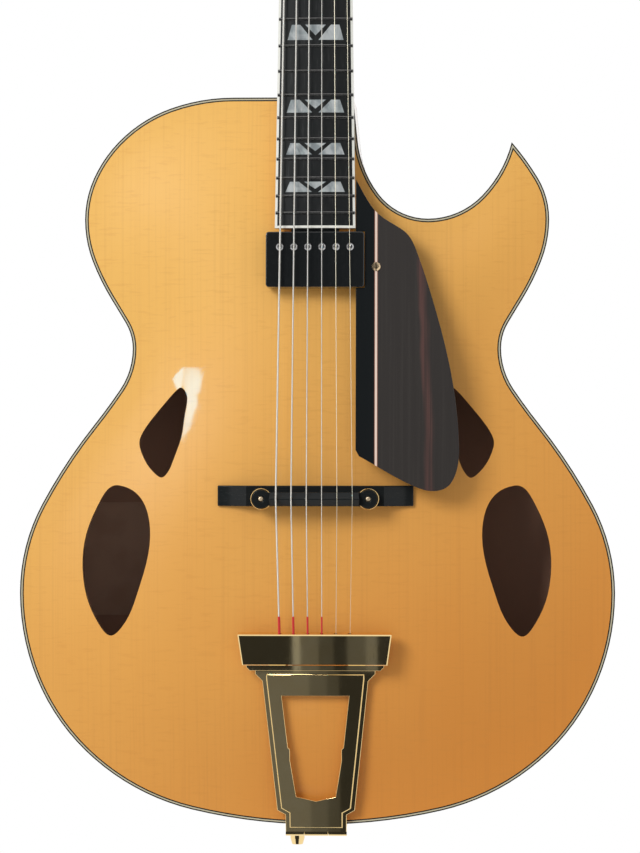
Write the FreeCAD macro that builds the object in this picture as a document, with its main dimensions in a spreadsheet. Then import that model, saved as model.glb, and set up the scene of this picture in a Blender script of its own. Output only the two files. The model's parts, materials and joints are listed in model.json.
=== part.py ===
import FreeCAD, Part
import math
import os
import types

import Sketcher

Vector = FreeCAD.Vector
Placement = FreeCAD.Placement
Rotation = FreeCAD.Rotation
X_AXIS = Vector(1, 0, 0)
Y_AXIS = Vector(0, 1, 0)
Z_AXIS = Vector(0, 0, 1)

# Driving dimensions in millimetres and degrees.
# The guitar stands upright: +X to the treble side, +Z towards the headstock, front facing -Y.
SIZES = {
    # Body outline, measured out from the centre line
    # The lower bout is placed up from the tail edge, and what lies above it down from the neck edge
    "body_length": 521.6,
    "lower_bout": 427.2,
    "lower_bout_at": 166.0,
    "waist": 264.4,
    "waist_below_upper": 92.5,
    "upper_bout": 333.2,
    "upper_bout_below": 87.6,
    "tail_slope": 44.0,
    "lower_slope": 128.5,
    "upper_slope": 58.5,
    "shoulder_slope": 134.0,
    "shoulder_flat": 60.0,
    "horn_out": 139.8,
    "horn_below": 32.6,
    "horn_slope": 131.0,
    "cutaway_entry": 256.0,
    "cutaway_out": 80.0,
    "cutaway_below": 87.2,
    "cutaway_neck_out": 29.2,
    "cutaway_neck_below": 29.6,
    "cutaway_neck_slope": 95.0,
    "cutaway_corner_out": 26.3,
    # Sound box
    "top_thickness": 5.5,
    "back_thickness": 5.0,
    "rim_depth": 72.0,
    "rim_thickness": 2.7,
    "top_arch": 18.0,
    "back_arch": 17.0,
    "arch_fullness": 2.5,
    "binding_ply": 0.9,
    "lining_width": 6.0,
    "lining_depth": 14.0,
    "neck_block_length": 46.0,
    "neck_block_width": 72.0,
    "tail_block_length": 24.0,
    "tail_block_width": 80.0,
    "tone_bar_width": 7.0,
    "tone_bar_depth": 12.0,
    "tone_bar_spacing": 74.0,
    "tone_bar_start": 95.0,
    "tone_bar_end_gap": 77.9,
    "hole_span": 175.5,
    "label_width": 62.0,
    "label_height": 84.0,
    "label_thickness": 0.3,
    "label_gap": 0.25,
    # Neck and fingerboard
    "scale_length": 647.7,
    "neck_angle": 4.0,
    "board_rise": 19.5,
    "board_thickness": 6.0,
    "board_radius": 305.0,
    "board_end_gap": 10.8,
    "board_end_width": 57.3,
    "board_binding": 1.7,
    "nut_width": 44.5,
    "nut_length": 5.0,
    "nut_rise": 1.9,
    "saddle_rise": 5.6,
    "nut_slot_width": 1.7,
    "fret_height": 1.1,
    "fret_width": 2.3,
    "inlay_depth": 1.0,
    "inlay_tall_share": 0.57,
    "inlay_foot_share": 0.744,
    "inlay_head_share": 0.64,
    "inlay_wedge_share": 0.435,
    "inlay_wedge_depth": 0.7,
    "inlay_band_share": 0.21,
    "inlay_tip_share": 0.105,
    "neck_depth_nut": 14.5,
    "neck_depth_body": 17.5,
    "heel_cap_width": 26.0,
    "heel_cap_thickness": 3.0,
    "heel_length": 66.0,
    "tongue_thickness": 5.0,
    "tongue_inset": 2.0,
    "tenon_width": 22.0,
    "tenon_length": 18.0,
    "tenon_depth": 50.0,
    "rod_radius": 3.0,
    "rod_depth": 5.5,
    "rod_clearance": 0.1,
    # Headstock
    "head_angle": 14.0,
    "head_length": 182.0,
    "head_width": 80.0,
    "head_neck_width": 61.0,
    "head_flare": 20.0,
    "head_crown": 7.0,
    "head_thickness": 13.0,
    "head_drop": 3.2,
    "overlay_thickness": 2.4,
    "cover_length": 38.0,
    "cover_width": 22.0,
    "cover_thickness": 1.8,
    "head_screw_head": 1.8,
    "head_screw_shank": 0.85,
    "head_screw_length": 9.0,
    "rod_pocket_length": 24.0,
    "rod_pocket_width": 9.0,
    "rod_pocket_depth": 9.0,
    # Tuning machines
    "tuner_first": 42.0,
    "tuner_step": 42.0,
    "tuner_inset": 12.0,
    "post_radius": 3.1,
    "post_reach": 17.0,
    "post_foot": 6.0,
    "post_waist": 0.7,
    "post_clearance": 0.15,
    "bushing_radius": 4.8,
    "bushing_flange": 6.6,
    "bushing_rise": 2.0,
    "housing_length": 21.0,
    "housing_width": 18.0,
    "housing_depth": 12.0,
    "housing_round": 2.5,
    "housing_tab": 3.6,
    "housing_tab_thickness": 1.6,
    "worm_offset": 6.2,
    "shaft_radius": 2.0,
    "shaft_clearance": 0.15,
    "button_gap": 5.0,
    "button_length": 15.0,
    "button_width": 21.0,
    "button_thickness": 7.0,
    # Strings, first to sixth
    "string_1_diameter": 0.33,
    "string_2_diameter": 0.43,
    "string_3_diameter": 0.66,
    "string_4_diameter": 0.91,
    "string_5_diameter": 1.17,
    "string_6_diameter": 1.42,
    "string_spread_nut": 37.5,
    "string_spread_saddle": 54.0,
    "string_clearance": 0.03,
    "ball_radius": 1.9,
    "ball_length": 3.6,
    # Floating pickup
    "pickup_width": 70.0,
    "pickup_height": 39.5,
    "pickup_depth": 11.0,
    "pickup_gap": 2.7,
    "pickup_rise": 0.6,
    "pickup_wall": 1.3,
    "pickup_corner": 2.2,
    "pickup_edge_round": 0.8,
    "pole_radius": 2.6,
    "pole_row": 11.0,
    "pole_spread": 50.0,
    "base_plate": 1.2,
    "coil_width": 60.0,
    "coil_height": 16.0,
    "magnet_depth": 2.6,
    "magnet_width": 58.0,
    "magnet_height": 12.0,
    "pole_shank": 1.3,
    "inner_clearance": 0.1,
    "rail_width": 34.0,
    "rail_depth": 4.4,
    # Pickguard
    "guard_thickness": 3.0,
    "guard_drop": 2.0,
    "guard_top": 60.4,
    "guard_reach": 102.1,
    "guard_inner": 29.0,
    "guard_bridge_gap": 6.4,
    "guard_clearance": 0.35,
    "strip_out": 43.4,
    "strip_width": 2.4,
    "guard_screw_at": 122.8,
    "guard_screw_head": 3.1,
    "guard_screw_shank": 0.8,
    "standoff_radius": 4.0,
    # Bridge
    "base_length": 139.5,
    "base_width": 14.6,
    "base_height": 9.0,
    "base_flat": 98.0,
    "base_tip": 3.0,
    "post_spacing": 76.0,
    "bridge_post_radius": 1.9,
    "wheel_radius": 7.6,
    "wheel_thickness": 3.0,
    "wheel_gap": 2.5,
    "wheel_clearance": 0.06,
    "saddle_width": 9.5,
    "saddle_end_radius": 6.4,
    "saddle_ear": 5.0,
    "saddle_hole_clearance": 0.3,
    "crest_length": 64.0,
    "crest_bevel": 4.4,
    "base_offset": 2.0,
    "saddle_seat": 0.05,
    "crown_clearance": 0.08,
    # Tailpiece, measured along its plate from the hinge axis
    "hinge_drop": 5.2,
    "hinge_rise": 3.0,
    "knuckle_radius": 2.5,
    "middle_knuckle": 17.6,
    "knuckle_gap": 0.3,
    "hinge_pin_radius": 1.4,
    "pin_clearance": 0.06,
    "frame_thickness": 2.2,
    "frame_back": 1.0,
    "panel_thickness": 0.8,
    "panel_inset": 3.2,
    "frame_top_width": 85.6,
    "frame_shoulder_width": 75.5,
    "frame_foot_width": 55.6,
    "frame_base_width": 43.7,
    "frame_shoulder_at": 111.2,
    "frame_foot_at": 16.9,
    "frame_base_at": 13.6,
    "window_top_width": 48.1,
    "window_notch_width": 39.6,
    "window_waist_width": 36.6,
    "window_bottom_width": 28.2,
    "window_top_at": 100.6,
    "window_notch_at": 63.0,
    "window_waist_at": 53.5,
    "window_bottom_at": 26.9,
    "window_sag": 3.2,
    "bar_at": 124.2,
    "bar_height": 22.4,
    "bar_top_width": 109.3,
    "bar_bottom_width": 103.0,
    "bar_thickness": 9.0,
    "bar_hole_radius": 1.3,
    "lip_width": 98.0,
    "lip_height": 5.0,
    "lip_thickness": 2.3,
    "bar_bevel": 0.8,
    "bar_overlap": 17.0,
    "ball_pocket": 6.0,
    "ball_clearance": 0.15,
    "tail_string_spread": 49.4,
    # Tail bracket and end-pin jack
    "bracket_thickness": 2.0,
    "bracket_depth": 50.0,
    "bracket_screw_head": 3.4,
    "bracket_screw_shank": 1.7,
    "bracket_screw_length": 18.0,
    "bracket_screw_side": 13.0,
    "bracket_screw_front": 15.0,
    "jack_reach": 18.5,
    "jack_side": 15.4,
    "jack_depth": 38.0,
    "jack_radius": 6.2,
    "jack_nose_radius": 5.2,
    "jack_tip_radius": 3.9,
    "jack_barrel": 4.9,
    "jack_ream": 0.3,
    "jack_barrel_length": 34.0,
    "jack_bore": 3.25,
}

JOINT_FRET = 14
FRET_COUNT = 20
INLAY_FRETS = (3, 5, 7, 9, 12, 15, 17, 19)
STRING_COUNT = 6


class Size(float):
    """A number that remembers the spreadsheet expression it comes from."""

    def __new__(cls, value, text):
        size = super().__new__(cls, value)
        size.text = text
        return size

    @staticmethod
    def text_of(value):
        return value.text if isinstance(value, Size) else repr(float(value))

    def joined(self, value, left, sign, right):
        return Size(value, "(%s %s %s)" % (Size.text_of(left), sign, Size.text_of(right)))

    def __add__(self, other):
        return self.joined(float(self) + float(other), self, "+", other)

    def __radd__(self, other):
        return self.joined(float(other) + float(self), other, "+", self)

    def __sub__(self, other):
        return self.joined(float(self) - float(other), self, "-", other)

    def __rsub__(self, other):
        return self.joined(float(other) - float(self), other, "-", self)

    def __mul__(self, other):
        return self.joined(float(self) * float(other), self, "*", other)

    def __rmul__(self, other):
        return self.joined(float(other) * float(self), other, "*", self)

    def __truediv__(self, other):
        return self.joined(float(self) / float(other), self, "/", other)

    def __neg__(self):
        return Size(-float(self), "(-1 * %s)" % self.text)


doc = FreeCAD.newDocument("archtop_guitar")
sheet = doc.addObject("Spreadsheet::Sheet", "Sizes")
for row, (name, value) in enumerate(SIZES.items(), start=1):
    sheet.set("A%d" % row, name)
    sheet.set("B%d" % row, str(value))
    sheet.setAlias("B%d" % row, name)
doc.recompute()
s = types.SimpleNamespace(**{name: Size(sheet.get(name), "Sizes." + name) for name in SIZES})

nodes = []


# Document helpers

def bind(obj, **sizes):
    for name, value in sizes.items():
        setattr(obj, name, float(value))
        if isinstance(value, Size):
            obj.setExpression(name, value.text)


def feature(label, shape, placement=None):
    obj = doc.addObject("Part::Feature", label)
    obj.Label = label
    obj.Shape = shape
    if placement is not None:
        obj.Placement = placement
    nodes.append(obj)
    return obj


def start_body(label, placement=None, node=True):
    body = doc.addObject("PartDesign::Body", label)
    body.Label = label
    if placement is not None:
        body.Placement = placement
    if node:
        nodes.append(body)
    return body


def pin_point(sketch, geometry, position, x, y):
    for kind, axis, value in (("DistanceX", -2, x), ("DistanceY", -1, y)):
        if value == 0:
            sketch.addConstraint(Sketcher.Constraint("PointOnObject", geometry, position, axis))
            continue
        index = sketch.addConstraint(Sketcher.Constraint(kind, -1, 1, geometry, position, float(value)))
        if isinstance(value, Size):
            sketch.setExpression("Constraints[%d]" % index, value.text)


def add_polygon(sketch, points):
    first = sketch.GeometryCount
    count = len(points)
    for index in range(count):
        start = points[index]
        end = points[(index + 1) % count]
        line = Part.LineSegment(Vector(start[0], start[1], 0), Vector(end[0], end[1], 0))
        sketch.addGeometry(line, False)
    for index in range(count):
        after = first + (index + 1) % count
        sketch.addConstraint(Sketcher.Constraint("Coincident", first + index, 2, after, 1))
    for index, (x, y) in enumerate(points):
        pin_point(sketch, first + index, 1, x, y)


def add_circle(sketch, x, y, radius):
    circle = sketch.addGeometry(Part.Circle(Vector(x, y, 0), Z_AXIS, float(radius)), False)
    pin_point(sketch, circle, 3, x, y)
    index = sketch.addConstraint(Sketcher.Constraint("Radius", circle, float(radius)))
    if isinstance(radius, Size):
        sketch.setExpression("Constraints[%d]" % index, radius.text)


def start_sketch(body, plane, offset=0):
    sketch = body.newObject("Sketcher::SketchObject", body.Label + "_sketch")
    support = [f for f in body.Origin.OriginFeatures if f.Role == plane]
    sketch.AttachmentSupport = [(support[0], "")]
    sketch.MapMode = "FlatFace"
    if offset != 0:
        sketch.AttachmentOffset = Placement(Vector(0, 0, float(offset)), Rotation())
        if isinstance(offset, Size):
            sketch.setExpression("AttachmentOffset.Base.z", offset.text)
    return sketch


def polygon_sketch(body, plane, *loops, offset=0):
    sketch = start_sketch(body, plane, offset)
    for points in loops:
        add_polygon(sketch, points)
    return sketch


def circle_sketch(body, plane, *circles, offset=0):
    sketch = start_sketch(body, plane, offset)
    for x, y, radius in circles:
        add_circle(sketch, x, y, radius)
    return sketch


def pad(body, sketch, length, backwards=False, centred=False):
    operation = body.newObject("PartDesign::Pad", body.Label + "_pad")
    operation.Profile = sketch
    bind(operation, Length=length)
    operation.Reversed = backwards
    operation.Midplane = centred
    doc.recompute()
    return operation


def pocket(body, sketch, length=None, backwards=False, centred=False):
    before = body.Shape.Volume
    operation = body.newObject("PartDesign::Pocket", body.Label + "_pocket")
    operation.Profile = sketch
    if length is None:
        operation.Type = "ThroughAll"
    else:
        bind(operation, Length=length)
    operation.Reversed = backwards
    operation.Midplane = centred
    doc.recompute()
    if not body.Shape.Volume < before:
        raise RuntimeError("a pocket in %s cuts nothing" % body.Label)
    return operation


def revolve(body, sketch, axis="V_Axis", angle=360):
    operation = body.newObject("PartDesign::Revolution", body.Label + "_turned")
    operation.Profile = sketch
    operation.ReferenceAxis = (sketch, [axis])
    operation.Midplane = True
    bind(operation, Angle=angle)
    doc.recompute()
    return operation


def soften(body, kind, size, wanted):
    """Fillet or chamfer the edges of the body that pass the test, by their centre and direction."""
    names = []
    base = body.Tip
    for index, edge in enumerate(body.Shape.Edges, start=1):
        ends = edge.Vertexes
        along = (ends[-1].Point - ends[0].Point) if len(ends) > 1 else Vector(0, 0, 0)
        if wanted(body.Placement.inverse().multVec(edge.CenterOfMass), along):
            names.append("Edge%d" % index)
    operation = body.newObject("PartDesign::" + kind, body.Label + "_" + kind.lower())
    operation.Base = (base, names)
    if kind == "Fillet":
        bind(operation, Radius=size)
    else:
        bind(operation, Size=size)
    doc.recompute()
    return operation


def box(x0, x1, y0, y1, z0, z1):
    return Part.makeBox(x1 - x0, y1 - y0, z1 - z0, Vector(x0, y0, z0))


def rod(start, end, radius):
    along = end - start
    return Part.makeCylinder(float(radius), along.Length, start, along)


def rectangle(half_width, half_height, middle=0):
    return [(-half_width, middle - half_height), (half_width, middle - half_height),
            (half_width, middle + half_height), (-half_width, middle + half_height)]


def repeat_x(spread):
    """Places of the six strings across a spread, first string on the treble side."""
    return [spread / 2 - spread * n / (STRING_COUNT - 1) for n in range(STRING_COUNT)]


# Places that everything is measured from

LARGE = 2 * float(s.body_length)
TAIL_Z = s.jack_reach
TOP_Z = s.jack_reach + s.body_length
RIM_TOP = s.top_thickness
RIM_BACK = s.top_thickness + s.rim_depth
BACK_EDGE = s.top_thickness + s.rim_depth + s.back_thickness
UPPER_BOUT_AT = s.body_length - s.upper_bout_below
WAIST_AT = UPPER_BOUT_AT - s.waist_below_upper
HORN_AT = s.body_length - s.horn_below
CUTAWAY_AT = s.body_length - s.cutaway_below
CUTAWAY_NECK_AT = s.body_length - s.cutaway_neck_below


def from_nut(fret):
    return float(s.scale_length) * (1 - 2 ** (-fret / 12))


NUT_AT = from_nut(JOINT_FRET)
SADDLE_AT = NUT_AT - float(s.scale_length)
# The fingerboard ends a little past its last fret
OVERHANG = s.scale_length * (2 ** (-JOINT_FRET / 12) - 2 ** (-FRET_COUNT / 12)) + s.board_end_gap


def neck_placement(edge_y):
    tilt = Rotation(X_AXIS, -float(s.neck_angle))
    return Placement(Vector(0, edge_y - s.board_rise, TOP_Z), tilt)


# The edge plane of the top is placed so that Y = 0 lies at mid depth.
STRING_TOP = neck_placement(0).multVec(Vector(0, -(s.saddle_rise + s.string_4_diameter), SADDLE_AT)).y
EDGE_Y = -(STRING_TOP + BACK_EDGE + s.back_arch) / 2
NECK = neck_placement(EDGE_Y)
CROWN = NECK.multVec(Vector(0, -float(s.saddle_rise), SADDLE_AT))


# Body outline: pairs of tangent arcs between stations

def heading(degrees):
    return Vector(math.cos(math.radians(degrees)), 0, math.sin(math.radians(degrees)))


def arc_from(start, direction, end):
    chord = end - start
    turn = math.atan2(direction.x * chord.z - direction.z * chord.x, direction.dot(chord))
    side = Vector(chord.z, 0, -chord.x)
    middle = start + chord * 0.5 + side * (0.5 * math.tan(turn / 2))
    return Part.Arc(start, middle, end).toShape()


def arc_pair(start, start_angle, end, end_angle):
    first = heading(start_angle)
    last = heading(end_angle)
    gap = end - start
    lean = gap.dot(first + last)
    spread = 2 * (1 - first.dot(last))
    reach = gap.dot(gap)
    if spread < 1e-9:
        length = reach / (2 * lean)
    else:
        length = (-lean + math.sqrt(lean * lean + spread * reach)) / spread
    before = start + first * length
    after = end - last * length
    middle = (before + after) * 0.5
    return [arc_from(start, first, middle), arc_from(middle, after - before, end)]


def body_outline():
    def station(x, z, angle):
        return Vector(float(x), 0, float(TAIL_Z + z)), float(angle)

    lower = s.lower_bout / 2
    waist = s.waist / 2
    upper = s.upper_bout / 2
    up_to_waist = [
        (0, 0, 0),
        (0.778 * lower, 0.315 * s.lower_bout_at, s.tail_slope),
        (lower, s.lower_bout_at, 90),
        (waist + 0.346 * (lower - waist), WAIST_AT - 0.316 * (WAIST_AT - s.lower_bout_at), s.lower_slope),
        (waist, WAIST_AT, 90),
        (waist + 0.448 * (upper - waist), WAIST_AT + 0.384 * (UPPER_BOUT_AT - WAIST_AT), s.upper_slope),
        (upper, UPPER_BOUT_AT, 90),
    ]
    treble = up_to_waist + [(s.horn_out, HORN_AT, s.horn_slope)]
    cutaway = [
        (s.horn_out, HORN_AT, s.cutaway_entry),
        (s.cutaway_out, CUTAWAY_AT, 180),
        (s.cutaway_neck_out, CUTAWAY_NECK_AT, s.cutaway_neck_slope),
    ]
    shoulder_out = s.shoulder_flat + 0.775 * (upper - s.shoulder_flat)
    shoulder_at = UPPER_BOUT_AT + 0.635 * (s.body_length - UPPER_BOUT_AT)
    bass = up_to_waist + [(shoulder_out, shoulder_at, s.shoulder_slope), (s.shoulder_flat, s.body_length, 180)]

    def arcs(stations):
        edges = []
        placed = [station(*values) for values in stations]
        for (start, start_angle), (end, end_angle) in zip(placed, placed[1:]):
            edges += arc_pair(start, start_angle, end, end_angle)
        return edges

    mirrored = [edge.mirror(Vector(0, 0, 0), X_AXIS) for edge in arcs(bass)]
    corner = Vector(float(s.cutaway_corner_out), 0, float(TOP_Z))
    shoulder = Vector(-float(s.shoulder_flat), 0, float(TOP_Z))
    neck_side = Vector(float(s.cutaway_neck_out), 0, float(TAIL_Z + CUTAWAY_NECK_AT))
    straight = [Part.LineSegment(neck_side, corner).toShape(), Part.LineSegment(corner, shoulder).toShape()]
    edges = Part.sortEdges(arcs(treble) + arcs(cutaway) + straight + mirrored)[0]
    return Part.Wire(edges)


OUTLINE = body_outline()


def inset(distance):
    if distance == 0:
        return OUTLINE
    return OUTLINE.makeOffset2D(-float(distance), 2)


def prism(wire, start, end):
    """A plate of the given outline between two depths behind the edge plane."""
    face = Part.Face(wire)
    face.translate(Vector(0, float(EDGE_Y + start), 0))
    return face.extrude(Vector(0, float(end - start), 0))


def ring(outer, inner, start, end):
    return prism(inset(outer), start, end).cut(prism(inset(inner), start, end))


# Arching: a smooth measure of the distance to the edge gives the height of the plates

OUTLINE_STEP = 4.0
ARCH_STEP = 10.0
ARCH_MARGIN = 14.0
EDGE_POINTS = OUTLINE.discretize(Distance=OUTLINE_STEP)


def inside(x, z):
    crossings = 0
    for start, end in zip(EDGE_POINTS, EDGE_POINTS[1:] + EDGE_POINTS[:1]):
        if (start.z > z) != (end.z > z):
            at = start.x + (z - start.z) * (end.x - start.x) / (end.z - start.z)
            crossings += at > x
    return crossings % 2 == 1


def edge_distance(x, z):
    if not inside(x, z):
        return 0.0
    total = 0.0
    for point in EDGE_POINTS:
        total += ((x - point.x) ** 2 + (z - point.z) ** 2 + 0.01) ** -1.5
    return math.sqrt(2 / (total * OUTLINE_STEP))


def grid_line(start, end):
    count = math.ceil((end - start) / ARCH_STEP)
    return [start + (end - start) * n / count for n in range(count + 1)]


GRID_X = grid_line(-float(s.lower_bout) / 2 - ARCH_MARGIN, float(s.lower_bout) / 2 + ARCH_MARGIN)
GRID_Z = grid_line(float(TAIL_Z) - ARCH_MARGIN, float(TOP_Z) + ARCH_MARGIN)
DISTANCE = [[edge_distance(x, z) for z in GRID_Z] for x in GRID_X]
DEEPEST = max(max(line) for line in DISTANCE)


def rise(distance):
    """Share of the full arch at a distance from the edge, flat at the edge and at the middle."""
    return 1 - (1 - min(1.0, distance / DEEPEST) ** 2) ** float(s.arch_fullness)


def top_height(x, z):
    return float(s.top_arch) * rise(edge_distance(x, z))


def arched_face(start, arch):
    points = []
    for x, line in zip(GRID_X, DISTANCE):
        points.append([Vector(x, float(EDGE_Y + start + arch * rise(d)), z) for z, d in zip(GRID_Z, line)])
    surface = Part.BSplineSurface()
    surface.interpolate(points)
    return surface.toShape()


def push(face, distance):
    return face.extrude(Vector(0, float(distance), 0))


TOP_OUTER = arched_face(0, -s.top_arch)
TOP_INNER = TOP_OUTER.translated(Vector(0, float(s.top_thickness), 0))
BACK_INNER = arched_face(RIM_BACK, s.back_arch)
UNDER_TOP = push(TOP_OUTER, s.rim_depth)
BINDING_WIDTH = 3 * s.binding_ply


# Sound box

def smooth_loop(points):
    curve = Part.BSplineCurve()
    curve.interpolate(points, PeriodicFlag=True)
    return Part.Wire(curve.toShape())


# Bass-side outlines of the sound holes: in from the widest or narrowest point beside each, up from it
UPPER_HOLE = [(36.2, -28.5), (38.9, -31.6), (38.6, -45.2), (35.7, -64.1), (30.6, -78.6),
              (25.7, -89.4), (21.8, -92.5), (16.8, -89.9), (10.1, -81.9), (6.1, -73.1),
              (5.1, -67.0), (7.4, -60.4), (14.5, -50.1), (24.6, -38.0), (31.6, -30.3)]
LOWER_HOLE = [(72.0, 77.3), (86.7, 69.8), (95.0, 39.2), (85.9, 0.3), (74.6, -24.0),
              (66.2, -30.4), (57.6, -22.2), (47.0, 5.0), (46.5, 33.8), (58.0, 65.8)]


# The outlines are drawn for this span between lower bout and waist, and are drawn out with it
HOLE_STRETCH = (WAIST_AT - s.lower_bout_at) / s.hole_span


def hole_outlines():
    places = ((UPPER_HOLE, s.waist / 2, WAIST_AT), (LOWER_HOLE, s.lower_bout / 2, s.lower_bout_at))
    return [[(float(out - x), float(TAIL_Z + at + HOLE_STRETCH * z)) for x, z in points]
            for points, out, at in places]


def sound_holes():
    holes = []
    for outline in hole_outlines():
        for side in (-1, 1):
            points = [Vector(side * x, 0, z) for x, z in outline]
            holes.append(prism(smooth_loop(points), -2 * s.top_arch, s.rim_depth))
    return holes


def tenon_block():
    deep = RIM_TOP + s.rim_thickness
    return box(-s.tenon_width / 2, s.tenon_width / 2, EDGE_Y + deep, EDGE_Y + deep + s.tenon_depth,
               TOP_Z - s.rim_thickness - s.tenon_length, TOP_Z + s.heel_length / 4)


TENON = tenon_block()
HORN_SPLIT_LEAN = 0.25


def jack_hole(radius):
    centre = Vector(-float(s.jack_side), float(EDGE_Y + s.jack_depth), 0)
    return Part.makeCylinder(float(radius), float(TAIL_Z + s.body_length / 2), centre, Z_AXIS)


def reamed_jack_hole():
    """The hole through the bent rim, reamed wider towards the outside."""
    outside = Vector(-float(s.jack_side), float(EDGE_Y + s.jack_depth), float(TAIL_Z - s.rim_thickness))
    depth = float(4 * s.rim_thickness)
    return Part.makeCone(float(s.jack_barrel + s.jack_ream), float(s.jack_barrel), depth, outside, Z_AXIS)


def make_plates():
    plate = prism(inset(BINDING_WIDTH), -2 * s.top_arch, s.rim_depth)
    plate = plate.common(push(TOP_OUTER, s.top_thickness))
    for hole in sound_holes():
        plate = plate.cut(hole)
    feature("top_plate", plate)
    plate = prism(inset(BINDING_WIDTH), s.rim_depth / 2, BACK_EDGE + 2 * s.back_arch)
    feature("back_plate", plate.common(push(BACK_INNER, s.back_thickness)))


def make_rims():
    whole = ring(0, s.rim_thickness, RIM_TOP, RIM_BACK).cut(TENON).cut(reamed_jack_hole())
    for screw in bracket_screw_places():
        whole = whole.cut(rod(screw, screw + Z_AXIS * float(s.bracket_screw_length), s.bracket_screw_shank))
    depth = float(EDGE_Y)
    horn = Vector(float(s.horn_out), depth, float(TAIL_Z + HORN_AT))
    low = float(HORN_AT - CUTAWAY_AT) + 4 * float(s.rim_thickness)
    foot = horn + Vector(HORN_SPLIT_LEAN * low, 0, -low)
    tip = horn + Vector(-HORN_SPLIT_LEAN * low, 0, low)
    corners = [Vector(0, depth, foot.z), foot, tip, Vector(0, depth, tip.z)]
    wedge = Part.Face(Part.makePolygon(corners + corners[:1])).extrude(Vector(0, LARGE, 0))
    bass_side = box(-LARGE, 0, -LARGE, LARGE, -LARGE, LARGE)
    feature("rim_bass", whole.common(bass_side))
    treble = whole.cut(bass_side)
    feature("rim_treble", treble.cut(wedge))
    feature("rim_cutaway", treble.common(wedge))


def make_bindings():
    ply = s.binding_ply
    dark = []
    pale = []
    for start, end in ((0, RIM_TOP), (RIM_BACK, BACK_EDGE)):
        dark += [ring(0, ply, start, end), ring(2 * ply, 3 * ply, start, end)]
        pale.append(ring(ply, 2 * ply, start, end))
    feature("binding_dark", Part.makeCompound(dark))
    feature("binding_pale", Part.makeCompound(pale))


def hollow():
    """The space inside the rims, between the two arched plates."""
    space = prism(inset(s.rim_thickness), -2 * s.top_arch, BACK_EDGE + 2 * s.back_arch)
    space = space.cut(push(TOP_INNER, -4 * s.top_arch))
    return space.cut(push(BACK_INNER, 4 * s.back_arch))


HOLLOW = hollow()
NECK_BLOCK_LOW = TOP_Z - s.rim_thickness - s.neck_block_length
TAIL_BLOCK_HIGH = TAIL_Z + s.rim_thickness + s.tail_block_length


def make_blocks():
    block = box(-s.neck_block_width / 2, s.neck_block_width / 2, -LARGE, LARGE, NECK_BLOCK_LOW, LARGE)
    feature("neck_block", HOLLOW.common(block).cut(TENON))
    block = box(-s.tail_block_width / 2, s.tail_block_width / 2, -LARGE, LARGE, -LARGE, TAIL_BLOCK_HIGH)
    tail = HOLLOW.common(block).cut(jack_hole(s.jack_barrel))
    for screw in bracket_screw_places():
        tail = tail.cut(rod(screw, screw + Z_AXIS * float(s.bracket_screw_length), s.bracket_screw_shank))
    feature("tail_block", tail)


def make_linings():
    inner = inset(s.rim_thickness + s.lining_width)
    strip = HOLLOW.cut(prism(inner, -2 * s.top_arch, BACK_EDGE + 2 * s.back_arch))
    strip = strip.cut(prism(OUTLINE, RIM_TOP + s.lining_depth, RIM_BACK - s.lining_depth))
    side = s.neck_block_width / 2
    strip = strip.cut(box(-side, side, -LARGE, LARGE, NECK_BLOCK_LOW, LARGE))
    side = s.tail_block_width / 2
    strip = strip.cut(box(-side, side, -LARGE, LARGE, -LARGE, TAIL_BLOCK_HIGH))
    feature("linings", Part.makeCompound(strip.Solids))


def make_tone_bars():
    below = push(TOP_INNER.translated(Vector(0, float(s.tone_bar_depth), 0)), LARGE)
    low = TAIL_Z + s.tone_bar_start
    high = NECK_BLOCK_LOW - s.tone_bar_end_gap
    bars = []
    for side in (-1, 1):
        middle = side * s.tone_bar_spacing / 2
        half = s.tone_bar_width / 2
        bar = HOLLOW.common(box(middle - half, middle + half, -LARGE, LARGE, low, high))
        bars.append(bar.cut(below))
    feature("tone_bars", Part.makeCompound(bars))


def make_label():
    """A bare paper sheet on the inside of the back, behind the lower bass sound hole."""
    hole = hole_outlines()[1]
    x = sum(x for x, z in hole) / len(hole)
    z = sum(z for x, z in hole) / len(hole)
    half_width = float(s.label_width / 2)
    half_height = float(HOLE_STRETCH * s.label_height / 2)
    sheet_space = box(-x - half_width, -x + half_width, -LARGE, LARGE, z - half_height, z + half_height)
    lifted = BACK_INNER.translated(Vector(0, -float(s.label_thickness + s.label_gap), 0))
    feature("paper_label", push(lifted, s.label_thickness).common(sheet_space))


# Tail hardware: bracket, hinge pin, screws and end-pin jack

def bracket_screw_places():
    """Under the heads, on the outer face of the bracket."""
    front = EDGE_Y + s.bracket_screw_front
    places = [(-s.bracket_screw_side, front), (s.bracket_screw_side, front),
              (s.bracket_screw_side, EDGE_Y + s.jack_depth)]
    return [Vector(float(x), float(y), float(TAIL_Z - s.bracket_thickness)) for x, y in places]


HINGE = Vector(0, float(EDGE_Y - s.hinge_rise), float(TAIL_Z - s.hinge_drop))


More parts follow.
